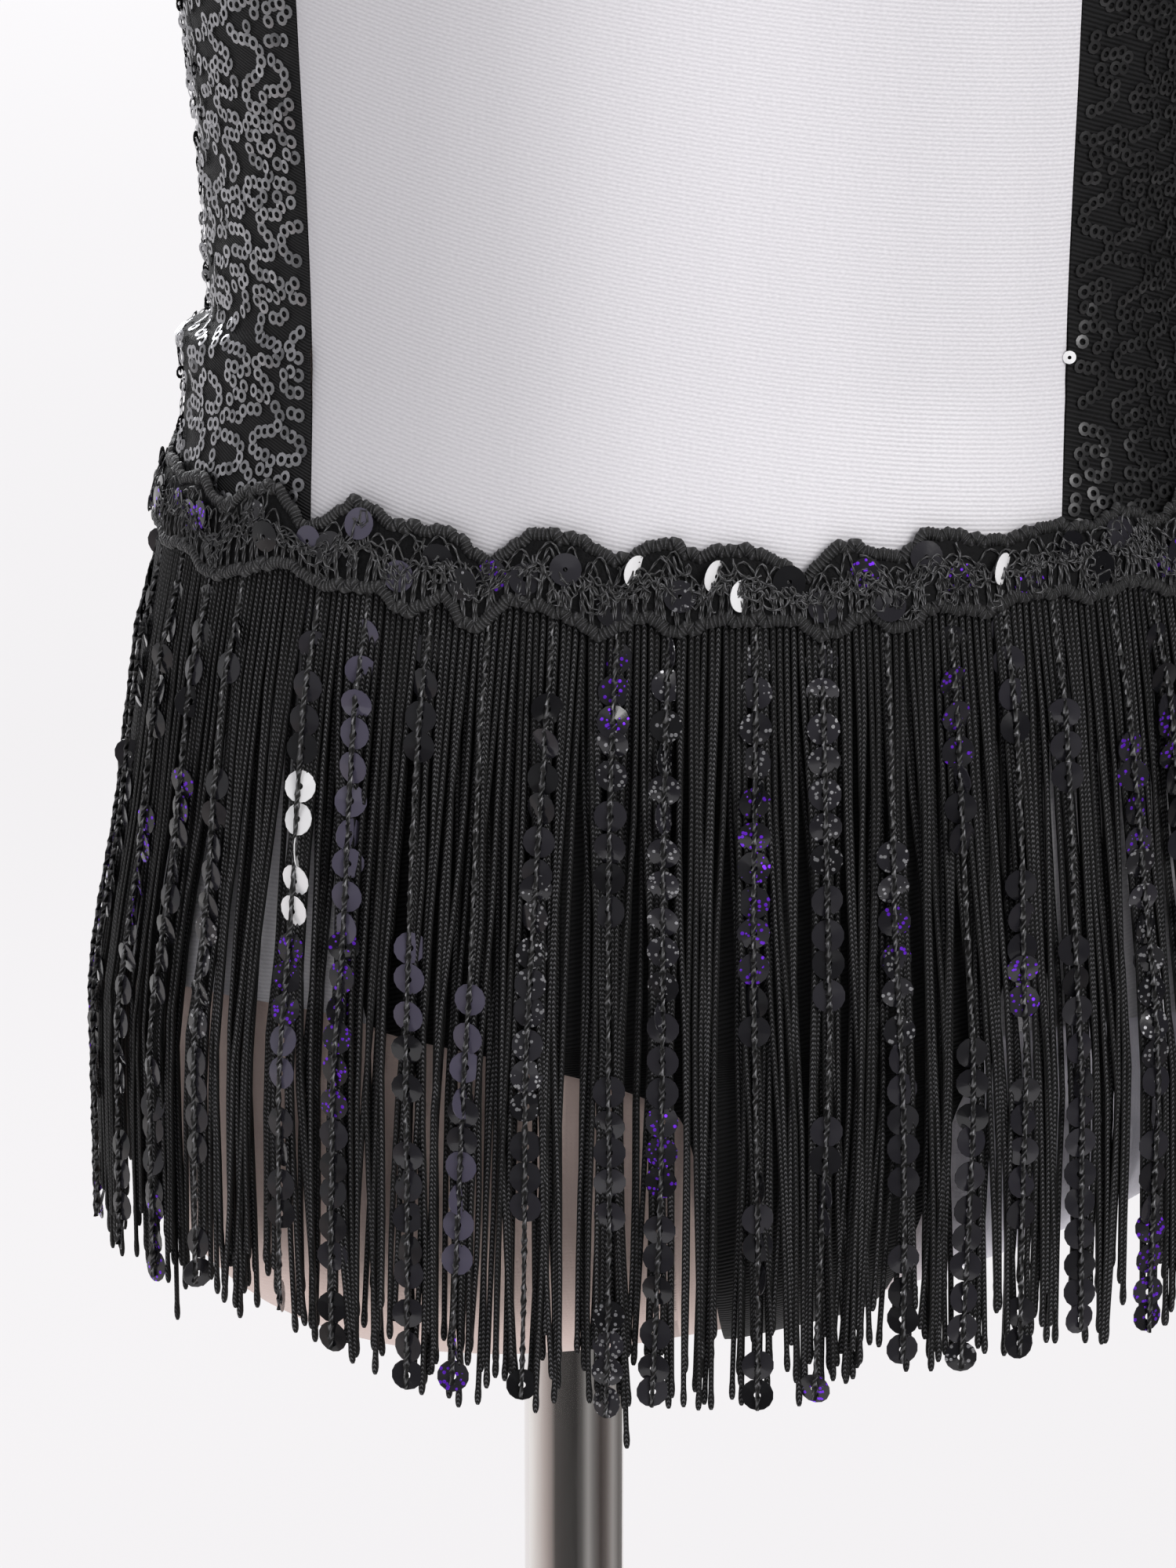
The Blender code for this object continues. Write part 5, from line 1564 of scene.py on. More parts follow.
@dataclass
class Trim:
    """The scalloped lace: a ground between two stitched cords, under threads and sequins."""

    hip: Hip
    upper: float = 0.9545
    lower: float = 0.9375
    repeat: float = 0.268
    repeats: int = 3
    near: float = 0.0055
    far: float = 0.0067
    hug: float = 0.0020
    cord_radius: float = 0.00163
    cord_flatness: float = 0.69
    cord_rings: int = 2904
    stitch_swell: float = 0.11
    stitch_pitch: float = 0.00105
    thread_radius: float = 0.00024
    sequin_radius: float = 0.0041
    sequin_pitch: float = 0.0088
    bar_pitch: float = 0.0026
    bar_top: tuple = (0.44, 0.66)
    line_shares: tuple = (0.46, 0.50, 0.55, 0.60)
    arc_pitch: float = 0.0042
    arc_span: tuple = (0.004, 0.010)
    arc_foot: float = 0.52
    arc_peak: tuple = (0.72, 0.97)
    short_threads: int = 420
    short_reach: float = 0.004
    short_rise: float = 0.16
    short_coil: tuple = (0.0013, 0.11)
    columns: int = 480
    looks: tuple = (BLACK, VIOLET, SILVER)
    look_odds: tuple = (0.66, 0.24, 0.10)
    # how far the sequins painted white as glints are turned aside
    painted_glint_yaw: float = 0.85
    # places from the middle of the front, in metres
    slate_from: float = -0.098
    slate_to: float = -0.058
    # sequins drawn white at these places: painted glints where the trim's black gloss sequins flash with
    # light
    painted_glint_places: tuple = (-0.006, 0.009, 0.0155, 0.081)

    def edge(self, table: Array, mean: float, place: Array) -> Array:
        """The height of a scalloped edge at a place round the hip."""
        share = (place / self.hip.girth + 0.5) * self.repeats % 1
        wave = smooth_curve(table[:, 0], table[:, 1], (share - 0.5) * self.repeat)
        return mean + self.hip.rise * np.sin(self.hip.angle(place)) ** 2 + wave

    def spot(self, place: Array, share: Array, stand_off: Array) -> tuple[Array, Array]:
        """Points between the lower edge, at a share of 0, and the upper one, at 1, with their fronts."""
        low = self.edge(LOWER_SCALLOPS, self.lower, place)
        high = self.edge(UPPER_SCALLOPS, self.upper, place)
        hugged = stand_off - self.hug * np.clip((share - 0.45) / 0.55, 0, 1)
        points, out = self.hip.surface(place, low + (high - low) * share, hugged)
        return self.hip.torso.place(points), out

    def cord(self, name: str, share: float) -> Made:
        """One satin-stitched cord, its rings swelling and shrinking stitch by stitch."""
        place = np.arange(self.cord_rings) * self.hip.girth / self.cord_rings
        chance = np.random.default_rng(31 + int(share))
        turns = TAU * place / self.hip.girth
        wave = sum(np.sin(k * turns + chance.uniform(0, 7)) for k in (89, 131, 173, 227))
        points, out = self.spot(place, share + 0.014 * wave, (self.near + self.far + 0.0012) / 2)
        run = np.cumsum(np.linalg.norm(np.diff(points, axis=0, prepend=points[:1]), axis=1))
        swell = 1 + self.stitch_swell * np.sin(run * TAU / self.stitch_pitch) + 0.02 * wave
        radius = self.cord_radius * swell[None]
        part = tubes(points[None], out[None], radius, 8, self.cord_flatness, closed=True)
        return part.build(name, STITCHED, "black_lace")

    def ground(self) -> Made:
        """The net between the cords, as a thin closed wall round the hip."""
        place = np.arange(self.columns) * self.hip.girth / self.columns
        shares = np.linspace(0, 1, 9)[:, None] + 0 * place
        outer, _ = self.spot(place + 0 * shares, shares, self.far)
        inner, _ = self.spot(place + 0 * shares, shares, self.near)
        made = hip_wall(np.concatenate([outer, inner[::-1]]), place).build("trim_ground", NET, "black_lace")
        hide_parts("trim_band")
        return made

    def threads(self) -> Made:
        """Upright bars, a dense middle line, arcs and a mess of short threads."""
        chance = np.random.default_rng(33)
        girth, pieces = self.hip.girth, []

        def lay(place: Array, share: Array, above: Array, width: float, closed: bool = False) -> None:
            """Adds threads along places and shares of the trim's height, above its ground."""
            points, out = self.spot(place, share, self.far + above)
            tint = chance.uniform(0.2, 0.9, (len(place), 1))
            radius = self.thread_radius * width
            pieces.append(tubes(points, out, radius, 4, 0.8, tint=tint, closed=closed))

        def spaced(pitch: float, stray: float) -> Array:
            """Places at a pitch round the hip, each out by up to a share of it."""
            count = int(girth / pitch)
            return (np.arange(count) + chance.uniform(-stray, stray, count))[:, None] * girth / count

        t = np.linspace(0, 1, 6)
        start = spaced(self.bar_pitch, 0.2)
        top, lean = chance.uniform(*self.bar_top, start.shape), chance.normal(0, 0.0007, start.shape)
        for aside in (-0.0003, 0.0003):
            above = 0.0002 + 0.0007 * np.sin(math.pi * t)
            lay(start + aside + lean * t, 0.04 + (top - 0.04) * t, above, 1.25)

        around = np.arange(1500) * girth / 1500
        for share in self.line_shares:
            wave, bulge = (
                sum(np.sin(TAU * (k * around / girth + chance.uniform())) for k in waves)
                for waves in ((41, 97, 163, 251), (67, 139, 223))
            )
            above = 0.0009 + 0.0003 * bulge
            lay(around[None], (share + 0.035 * wave)[None], above[None], 1.3, closed=True)

        rise = np.sin(math.pi * np.linspace(0, 1, 9))
        start = spaced(self.arc_pitch, 0.4)
        span = chance.uniform(*self.arc_span, start.shape)
        peak = chance.uniform(*self.arc_peak, start.shape)
        place = start + span * np.linspace(0, 1, 9)
        lay(place, self.arc_foot + (peak - self.arc_foot) * rise, 0.0003 + 0.0005 * rise, 1.2)

        t, each = np.linspace(0, 1, 8), (self.short_threads, 1)
        start = chance.uniform(0, girth, each)
        middle = np.clip(chance.normal(0.52, 0.2, each), 0.1, 0.92)
        turns, phase = chance.uniform(0.5, 2.2, each), chance.uniform(0, TAU, each)
        reach, slope = chance.normal(0, self.short_reach, each), chance.normal(0, self.short_rise, each)
        coil, (aside, over) = turns * TAU * t + phase, self.short_coil
        share = np.clip(middle + slope * (t - 0.5) + over * np.sin(coil), 0.03, 0.97)
        above = chance.uniform(0.0004, 0.0019, each) + 0.0004 * np.sin(math.pi * t)
        lay(start + reach * t + aside * np.cos(coil), share, above, 1.3)
        return Part.joined(pieces).build("trim_threads", TWISTED, "black_lace")

    def sequins(self) -> Made:
        """Flat sequins half under the threads, most of them black, and those drawn white as painted glints
        turned aside.
        """
        chance = np.random.default_rng(35)
        count = int(self.hip.girth / self.sequin_pitch)
        order = np.arange(count)
        place = (order - count // 2 + chance.uniform(-0.3, 0.3, count)) * self.sequin_pitch
        share = np.where(order % 2, 0.36, 0.66) + chance.normal(0, 0.08, count)
        kind = chance.choice([look.value for look in self.looks], count, p=self.look_odds)
        slate = (place > self.slate_from) & (place < self.slate_to)
        kind[slate & (order % 3 > 0)] = SLATE.value
        for white in self.painted_glint_places:
            kind[np.argmin(np.abs(place - white))] = WHITE_AND_PAINTED_GLINT.value
        points, out = self.spot(place, share, self.far + 0.0005 + 0.0009 * (order % 3 == 1))
        turned = np.where(kind == WHITE_AND_PAINTED_GLINT.value, self.painted_glint_yaw, 0.0)
        out = facing(out, chance.normal(0, 0.10, count) + turned, chance.normal(0, 0.12, count))
        tint = chance.uniform(0, 1, count)
        part = washers(points, out, self.sequin_radius, 0.0006, 20, 0.0003, tint, kind, back=0.0002)
        return part.build("trim_sequins", SEQUIN_FILM, "sequin_gloss")

    def build(self, hanging: list[Made]) -> None:
        """Builds the trim: its ground, its two cords, its threads and its sequins."""
        ground = self.ground()
        pieces = [
            self.cord("trim_cord_upper", 1.0),
            self.cord("trim_cord_lower", 0.0),
            self.threads(),
            self.sequins(),
        ]
        pieces + hanging


# ---- fringe


class Run(NamedTuple):
    """A run of sequins on a strand: the heights of its top and its bottom, and their look."""

    top: float
    bottom: float
    look: SequinLook


class SeenStrand(NamedTuple):
    """A strand that shows in front: its place round the hip and its runs of sequins."""

    place: float
    runs: tuple


SEEN_STRANDS = (
    SeenStrand(-0.1614, (Run(0.930, 0.895, BLACK), Run(0.880, 0.835, BLACK), Run(0.820, 0.780, BLACK))),
    SeenStrand(-0.1435, (Run(0.936, 0.890, BLACK), Run(0.868, 0.840, VIOLET), Run(0.838, 0.790, BLACK))),
    SeenStrand(-0.1287, (Run(0.937, 0.903, BLACK), Run(0.883, 0.871, VIOLET), Run(0.868, 0.823, BLACK),
        Run(0.803, 0.768, BLACK))),
    SeenStrand(-0.1161, (Run(0.932, 0.908, BLACK), Run(0.885, 0.848, BLACK), Run(0.846, 0.817, SILVER),
        Run(0.812, 0.786, BLACK))),
    # its white run is painted reflection: black gloss sequins drawn white where they mirror the light
    SeenStrand(-0.0918, (Run(0.932, 0.893, BLACK), Run(0.889, 0.849, WHITE_AND_PAINTED_GLINT), Run(0.847, 0.826, VIOLET),
        Run(0.822, 0.808, SLATE), Run(0.800, 0.775, BLACK))),
    SeenStrand(-0.0781, (Run(0.929, 0.852, SLATE), Run(0.850, 0.805, VIOLET), Run(0.799, 0.760, BLACK))),
    SeenStrand(-0.0612, (Run(0.927, 0.894, BLACK), Run(0.851, 0.828, SLATE), Run(0.824, 0.810, BLACK),
        Run(0.796, 0.762, BLACK))),
    SeenStrand(-0.0464, (Run(0.838, 0.812, SLATE), Run(0.810, 0.796, BLACK), Run(0.794, 0.768, SLATE))),
    SeenStrand(-0.0306, (Run(0.914, 0.872, BLACK), Run(0.870, 0.808, SILVER), Run(0.802, 0.780, BLACK))),
    SeenStrand(-0.0148, (Run(0.928, 0.911, VIOLET), Run(0.907, 0.891, SILVER), Run(0.889, 0.864, BLACK),
        Run(0.817, 0.781, BLACK))),
    SeenStrand(-0.0021, (Run(0.929, 0.836, SILVER), Run(0.834, 0.816, BLACK), Run(0.810, 0.789, VIOLET),
        Run(0.781, 0.757, BLACK))),
    SeenStrand(0.0190, (Run(0.928, 0.894, SILVER), Run(0.892, 0.849, VIOLET), Run(0.842, 0.826, BLACK),
        Run(0.793, 0.765, BLACK))),
    SeenStrand(0.0348, (Run(0.928, 0.877, SILVER), Run(0.868, 0.842, BLACK), Run(0.808, 0.780, BLACK))),
    SeenStrand(0.0506, (Run(0.878, 0.862, SILVER), Run(0.861, 0.852, VIOLET), Run(0.851, 0.831, SILVER),
        Run(0.827, 0.793, BLACK))),
    SeenStrand(0.0665, (Run(0.931, 0.923, BLACK), Run(0.921, 0.900, VIOLET), Run(0.898, 0.880, BLACK),
        Run(0.827, 0.750, BLACK))),
    SeenStrand(0.0802, (Run(0.934, 0.902, BLACK), Run(0.869, 0.852, BLACK), Run(0.848, 0.836, VIOLET),
        Run(0.816, 0.778, BLACK))),
    SeenStrand(0.0928, (Run(0.912, 0.892, BLACK), Run(0.851, 0.831, BLACK), Run(0.825, 0.757, BLACK))),
    SeenStrand(0.1097, (Run(0.901, 0.872, VIOLET), Run(0.870, 0.819, SILVER), Run(0.812, 0.776, BLACK))),
    SeenStrand(0.1224, (Run(0.934, 0.909, BLACK), Run(0.905, 0.893, VIOLET), Run(0.889, 0.838, BLACK),
        Run(0.826, 0.790, SILVER))),
)


@dataclass
class Fringe:
    """Two layers of chainette cords with sequin strands in front of them, on a narrow heading."""

    hip: Hip
    root: float = 0.9425
    heading: tuple = (0.9410, 0.9470)
    heading_off: tuple = (0.0026, 0.0046)
    cord_pitch: float = 0.00165
    cord_radius: float = 0.00078
    cord_flatness: float = 0.80
    cord_end: float = 0.743
    cord_end_spread: float = 0.011
    # (place round the hip, how much higher the fringe ends there)
    end_rises: tuple = (
        (-0.120, 0.011), (-0.100, 0.009), (-0.075, 0.004), (-0.050, -0.004), (0.0, -0.003),
        (0.030, 0.0), (0.055, 0.006), (0.080, 0.010),
    )
    long_share: float = 0.015
    long_by: float = 0.012
    groups: int = 120
    group_width: tuple = (0.006, 0.015)
    group_pull: tuple = (0.25, 0.62)
    group_lean: float = 0.0026
    gathered_by: float = 0.45
    wander: tuple = (0.0011, 0.0004)
    stray_end: float = 0.0010
    stray_out: float = 0.0007
    # (height over a cord's end, its radius as a share of the cord's)
    knot: tuple = (
        (0.0065, 1.0), (0.0048, 1.04), (0.0034, 1.20), (0.0020, 1.24), (0.0008, 1.05), (0.0, 0.60),
    )
    fall: tuple = (0.0, 0.03, 0.08, 0.16, 0.27, 0.40, 0.54, 0.68, 0.80, 0.90)
    # (height, stand-off from the form)
    inner_off: tuple = ((0.743, 0.0062), (0.805, 0.0062), (0.9425, 0.0039))
    outer_off: tuple = ((0.743, 0.0084), (0.880, 0.0082), (0.915, 0.0066), (0.936, 0.0045), (0.9425, 0.0041))
    strand_off: tuple = (
        (0.734, 0.0112), (0.880, 0.0110), (0.912, 0.0095), (0.934, 0.0050), (0.9425, 0.0043),
    )
    strand_end: float = 0.736
    strand_radius: float = 0.00095
    strand_pitch: float = 0.0159
    # how the runs of a hidden strand are drawn: their looks, tops, lengths and gaps
    looks: tuple = (BLACK, VIOLET, SILVER, SLATE)
    look_odds: tuple = (0.5, 0.22, 0.16, 0.12)
    first_top: float = 0.937
    last_top: float = 0.775
    run_length: tuple = (0.02, 0.075)
    run_gap: tuple = (0.012, 0.035)
    tail_looks: tuple = (BLACK, BLACK, VIOLET, BLACK, SILVER)
    strand_twist: float = 0.0085
    strand_sway: float = 0.0009
    bare_end: float = 0.009
    tail_off: float = 0.003
    # how strand sequins turn aside and tip, in radians, and the share that shows its edge
    strand_yaw: float = 0.22
    strand_nod: float = 0.14
    most_yaw: float = 1.2
    turned_yaw: float = 1.15
    turned_share: float = 0.06
    heading_columns: int = 360
    sequin_radius: float = 0.0042
    sequin_pitch: float = 0.0083

    def hang(self, place: Array, height: Array, off: Array, out_by: Array) -> tuple[Array, Array]:
        """Paths that follow the form to the hip's widest ring and fall straight below it.

        Args:
            place: places round the hip.
            height: heights on the way down.
            off: (height, stand-off) rows, lowest first.
            out_by: how much further out each point stands.

        Returns:
            The points and the level directions in which they face.
        """
        torso, table = self.hip.torso, np.array(off)
        angle = self.hip.angle(place)
        skin = torso.at_angle(angle, np.maximum(height, torso.hip))
        out = torso.outward(skin)
        points = skin + out * (np.interp(height, table[:, 0], table[:, 1]) + out_by)[..., None]
        near_root = np.clip((height - self.heading[0] + 0.02) / 0.02, 0, 1)
        points[..., 2] = height + self.hip.rise * np.sin(angle) ** 2 * near_root
        out[..., 2] = 0
        return torso.place(points), unit(out)

    def end_rise(self, place: Array) -> Array:
        """How much higher the fringe ends at a place than its usual height."""
        return np.interp(place, *np.array(self.end_rises).T)

    def cords(self, name: str, off: Array, seed: int) -> Made:
        """A layer of cords, drawn together in groups that lean and cross a little.

        Args:
            name: the piece's name.
            off: (height, stand-off) rows.
            seed: the layer's own seed of chance.

        Returns:
            The layer, as one piece.
        """
        chance = np.random.default_rng(seed)
        count = int(self.hip.girth / self.cord_pitch)
        root = (np.arange(count) + 0.5) * self.hip.girth / count - self.hip.girth / 2
        ends = self.cord_end + self.end_rise(root) + self.cord_end_spread * chance.uniform(-1, 1, count)
        ends -= self.long_by * (chance.uniform(0, 1, count) < self.long_share)
        knot = np.array(self.knot)
        falling = self.root + (ends + knot[0, 0] - self.root)[:, None] * np.array(self.fall)
        height = np.hstack([falling, ends[:, None] + knot[:, 0]])
        radius = self.cord_radius * np.append(np.ones(len(self.fall)), knot[:, 1])
        t = (self.root - height) / (self.root - self.cord_end)
        bounds = -self.hip.girth / 2 + np.cumsum(chance.uniform(*self.group_width, self.groups))
        group = np.searchsorted(bounds, root)
        centre = (np.append(-self.hip.girth / 2, bounds)[group] + bounds[group]) / 2
        pull = chance.uniform(*self.group_pull, self.groups + 1)[group]
        lean = chance.normal(0, self.group_lean, self.groups + 1)[group]
        gathered = np.clip(t / self.gathered_by, 0, 1) ** 1.5 * (1 - 0.25 * np.clip((t - 0.8) / 0.2, 0, 1))
        phase = chance.uniform(0, TAU, (count, 2))
        slow, quick = self.wander
        wander = np.sin(4.2 * t + phase[:, :1]) * slow + np.sin(9.5 * t + phase[:, 1:]) * quick
        place = root[:, None] + (centre - root)[:, None] * pull[:, None] * gathered
        place += lean[:, None] * t**1.6 + wander * np.minimum(t * 3, 1)
        place += chance.normal(0, self.stray_end, (count, 1)) * t**2
        out_by = np.abs(chance.normal(0, self.stray_out, (count, 1))) * np.minimum(t * 2, 1)
        points, out = self.hang(place, height, off, out_by)
        tint = chance.uniform(0.25, 1.0, (count, 1))
        part = tubes(points, out, radius, 6, self.cord_flatness, tint=tint)
        return part.build(name, CHAINETTE, "black_fringe")

    def tape(self) -> Made:
        """The heading that the cords are sewn to, under the trim."""
        place = np.arange(self.heading_columns) * self.hip.girth / self.heading_columns
        rise = self.hip.rise * np.sin(self.hip.angle(place)) ** 2
        (low, high), (near, far) = self.heading, self.heading_off
        middle = (low + high) / 2
        outline = ((low, near), (low, far), (middle, far + 0.0003), (high, far), (high, near))
        rows = [self.hip.surface(place, height + rise, off)[0] for height, off in outline]
        points = self.hip.torso.place(np.stack(rows))
        made = hip_wall(points, place).build("fringe_heading", NET, "black_fringe")
        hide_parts("fringe")
        return made

    def plans(self, chance: np.random.Generator) -> list[SeenStrand]:
        """The strands in front, and others at the same spacing with runs drawn by chance."""
        first, last = SEEN_STRANDS[0].place, SEEN_STRANDS[-1].place
        count = round((self.hip.girth - (last - first)) / self.strand_pitch) - 1
        plans = list(SEEN_STRANDS)
        for step in range(1, count + 1):
            place = last + step * (self.hip.girth - (last - first)) / (count + 1)
            runs, top = [], self.first_top - float(chance.uniform(0, 0.02))
            while top > self.last_top:
                bottom = top - float(chance.uniform(*self.run_length))
                look = self.looks[int(chance.choice(len(self.looks), p=self.look_odds))]
                runs.append(Run(top, bottom, look))
                top = bottom - float(chance.uniform(*self.run_gap))
            plans.append(SeenStrand(place, tuple(runs)))
        return plans

    def strands(self) -> list[Made]:
        """The sequin strands: two-ply threads with flat sequins behind them, and one at each end."""
        chance = np.random.default_rng(51)
        plans = self.plans(chance)
        count = len(plans)
        root = np.array([plan.place for plan in plans])
        ends = self.strand_end + self.end_rise(root) + chance.uniform(-0.005, 0.006, count)
        height = self.root + (ends - self.root)[:, None] * np.linspace(0, 1, 64)
        lean, phase = chance.normal(0, 0.0012, (count, 1)), chance.uniform(0, TAU, (count, 1))

        def aside(at: Array, rows: Array) -> Array:
            """Places round the hip of heights on strands of those rows."""
            t = (self.root - at) / (self.root - self.strand_end)
            sway = self.strand_sway * np.sin(5 * t + phase[rows, 0]) * np.minimum(2 * t, 1)
            return root[rows] + (lean[rows, 0] * t**1.5 + sway)

        rows = np.broadcast_to(np.arange(count)[:, None], height.shape)
        points, out = self.hang(aside(height, rows), height, self.strand_off, 0 * height)
        twist = (self.root - height) * TAU / self.strand_twist
        threads = tubes(points, out, self.strand_radius, 6, 0.62, twist, tint=0.75)
        thread = threads.build("strand_threads", TWISTED, "black_fringe")

        places, kinds = [], []
        for row, plan in enumerate(plans):
            for run in plan.runs:
                steps = np.arange(run.top, run.bottom, -self.sequin_pitch)
                kept = [(row, at) for at in steps if at > ends[row] + self.bare_end]
                places += kept
                kinds += [run.look.value] * len(kept)
            tail = ends[row] + self.tail_off + np.arange(1 + row * 7 % 4) * self.sequin_pitch
            kept = [(row, at) for at in tail if at < plan.runs[-1].bottom]
            places += kept
            kinds += [self.tail_looks[row % len(self.tail_looks)].value] * len(kept)
        row, at = np.array(places).T
        row = row.astype(int)
        at = at + chance.normal(0, 0.0005, len(at))
        centres, out = self.hang(aside(at, row), at, self.strand_off, 0 * at)
        centres = centres - out * 0.0010
        yaw = chance.normal(0, self.strand_yaw, len(at))
        turned = chance.uniform(0, 1, len(at)) < self.turned_share
        yaw = np.where(turned, np.sign(yaw) * self.turned_yaw, yaw)
        nod = chance.normal(0.02, self.strand_nod, len(at))
        out = facing(out, np.clip(yaw, -self.most_yaw, self.most_yaw), nod)
        tint, kind = chance.uniform(0, 1, len(at)), np.array(kinds)
        part = washers(centres, out, self.sequin_radius, 0.0009, 14, 0.0004, tint, kind, back=0.00022)
        return [thread, part.build("strand_sequins", SEQUIN_FILM, "sequin_gloss")]

    def build(self) -> list[Made]:
        """Builds the heading, both layers of cords and the strands."""
        return [
            self.tape(),
            self.cords("fringe_cords_inner", self.inner_off, 41),
            self.cords("fringe_cords_outer", self.outer_off, 43),
            *self.strands(),
        ]


# ---- form and stand


@dataclass
class DressForm:
    """The limbless form: a smooth closed torso covered in jersey, with a hole for the upright."""

    torso: Torso
    inset: float = 0.0010
    neck_edge: float = 0.004
    knit_girth: float = 0.80
    columns: int = 144
    aspect: float = 1.5
    hole_radius: float = 0.0143
    hole_top: float = 0.7763

    def rings(self) -> Array:
        """Rings from the underside's lowest point to the neck's rounded edge."""
        torso = self.torso
        step = ring_turns(self.columns)
        angle = np.arctan2(self.aspect * np.sin(step), np.cos(step))
        slope = np.radians(np.linspace(87, 4, 28))[:, None]
        flat = np.cos(slope)
        direction = np.sin(angle) * flat, -np.cos(angle) * flat, -np.sin(slope) + 0 * angle
        direction = np.stack(direction, axis=-1)
        under = torso.along_ray(np.array([0.0, 0.0, torso.hip]), direction)
        height = np.linspace(torso.hip, torso.neck_top, 110)[:, None]
        rings = np.concatenate([under, torso.at_angle(angle[None], height)])
        rings = torso.lift(rings, np.full(rings.shape[:2], -self.inset))
        turn = np.radians([25, 50, 70, 90])[:, None]
        shrink = 1 - self.neck_edge / torso.half_width(torso.neck_top) * (1 - np.cos(turn))
        cap = np.broadcast_to(rings[-1], (len(turn), *rings[-1].shape)).copy()
        cap[..., :2] *= shrink[..., None]
        cap[..., 2] += self.neck_edge * np.sin(turn)
        return np.concatenate([rings, cap])

    def build(self) -> Made:
        """Builds the form in place of its solid and cuts the upright's hole in it."""
        rings = self.rings()
        rows, columns = rings.shape[:2]
        lowest = self.torso.along_ray(np.array([0.0, 0.0, self.torso.hip]), np.array([[0.0, 0.0, -1.0]]))
        lowest[..., 2] += self.inset
        top = np.array([[0.0, 0.0, rings[-1, 0, 2]]])
        points = self.torso.place(np.concatenate([rings.reshape(-1, 3), lowest, top]))
        column = np.arange(columns)
        onward = (column + 1) % columns
        last = (rows - 1) * columns
        foot = np.stack([np.full(columns, rows * columns), onward, column], axis=1)
        head = np.stack([last + column, last + onward, np.full(columns, rows * columns + 1)], axis=1)
        faces = grid_quads(rows, columns, wrap_columns=True)
        girth = column * self.knit_girth / columns
        along = np.cumsum(np.append(0, np.linalg.norm(np.diff(rings[:, 0], axis=0), axis=1)))
        flat = np.stack(np.broadcast_arrays(girth, along[:, None]), axis=-1)
        ends = [[self.knit_girth / 2, 0.0], [self.knit_girth / 2, along[-1]]]
        flat = np.concatenate([flat.reshape(-1, 2), ends])
        form = Part.of(points, [faces, foot, head], flat).build("form_cover", JERSEY, "form_jersey")
        self.bore(form)
        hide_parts("form_body")
        return form

    def bore(self, form: Made) -> None:
        """Cuts the hole, and keeps the cut mesh."""
        bpy.ops.mesh.primitive_cylinder_add(vertices=96, radius=self.hole_radius, depth=0.2,
                                            location=(0, 0, self.hole_top - 0.1))
        cutter = bpy.context.active_object
        cut = form.modifiers.new("hole", "BOOLEAN")
        cut.operation, cut.solver, cut.object = "DIFFERENCE", "EXACT", cutter
        whole = form.data
        evaluated = form.evaluated_get(bpy.context.evaluated_depsgraph_get())
        form.data = bpy.data.meshes.new_from_object(evaluated)
        form.modifiers.clear()
        bpy.data.meshes.remove(whole)
        bpy.data.objects.remove(cutter)


@dataclass
class Stand:
    """The round base plate, its conical socket and the upright."""

    sides: int = 96
    plate_radius: float = 0.170
    plate: float = 0.006
    gap: float = 0.0003
    tube_radius: float = 0.0140
    tube_top: float = 0.776
    socket_radius: float = 0.0255
    socket_top_radius: float = 0.0195
    socket_height: float = 0.030
    edge: float = 0.002

    def turned(self, name: str, node: str, profile: Array, ring: bool = False) -> Made:
        """A solid of revolution about the upright.

        Args:
            name: the piece's name.
            node: the solid that it replaces.
            profile: radii and heights, bottom to top.
            ring: whether the profile closes on itself round a bore.

        Returns:
            The piece.
        """
        turn = ring_turns(self.sides)
        radius, height = np.array(profile).T
        points = np.stack([
            radius[:, None] * np.cos(turn), radius[:, None] * np.sin(turn), height[:, None] + 0 * turn,
        ], axis=-1)
        faces = [grid_quads(len(profile), self.sides, wrap_rows=ring, wrap_columns=True)]
        if not ring:
            around = np.arange(self.sides)
            faces += [around[None, ::-1], around[None] + (len(profile) - 1) * self.sides]
        made = Part.of(points, faces).build(name, CHROME, "chrome", 35)
        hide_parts(node)
        return made

    def rounded(self, radius: float, height: float, edge: float, upward: bool) -> list:
        """A quarter-round outer edge, as places from its start to its end."""
        turns = np.radians(np.linspace(0, 90, 6))
        if upward:
            return [(radius - edge + edge * math.cos(t), height - edge + edge * math.sin(t)) for t in turns]
        return [(radius - edge + edge * math.sin(t), height + edge - edge * math.cos(t)) for t in turns]

    def build(self) -> None:
        """Builds the three pieces in place of their solids."""
        plate = self.rounded(self.plate_radius, 0.0, self.edge / 2, False)
        plate += self.rounded(self.plate_radius, self.plate, self.edge, True)
        self.turned("stand_plate", "base_plate", plate)
        floor = self.plate + self.gap
        inside = self.tube_radius + self.gap
        outline = [(inside, floor + 0.0003), (inside + 0.0003, floor), (self.socket_radius - 0.0003, floor),
                   (self.socket_radius, floor + 0.0003), (self.socket_radius, floor + self.edge)]
        outline += self.rounded(self.socket_top_radius, floor + self.socket_height, self.edge / 2, True)
        outline += [(inside, floor + self.socket_height)]
        self.turned("stand_socket", "pole_socket", outline, ring=True)
        self.turned("stand_tube", "pole", [(self.tube_radius, floor), (self.tube_radius, self.tube_top)])


# ---- studio


class Tone(NamedTuple):
    """How bright and how warm the cards are at a bearing, in degrees to the viewer's right."""

    bearing: float
    brightness: float
    warmth: float


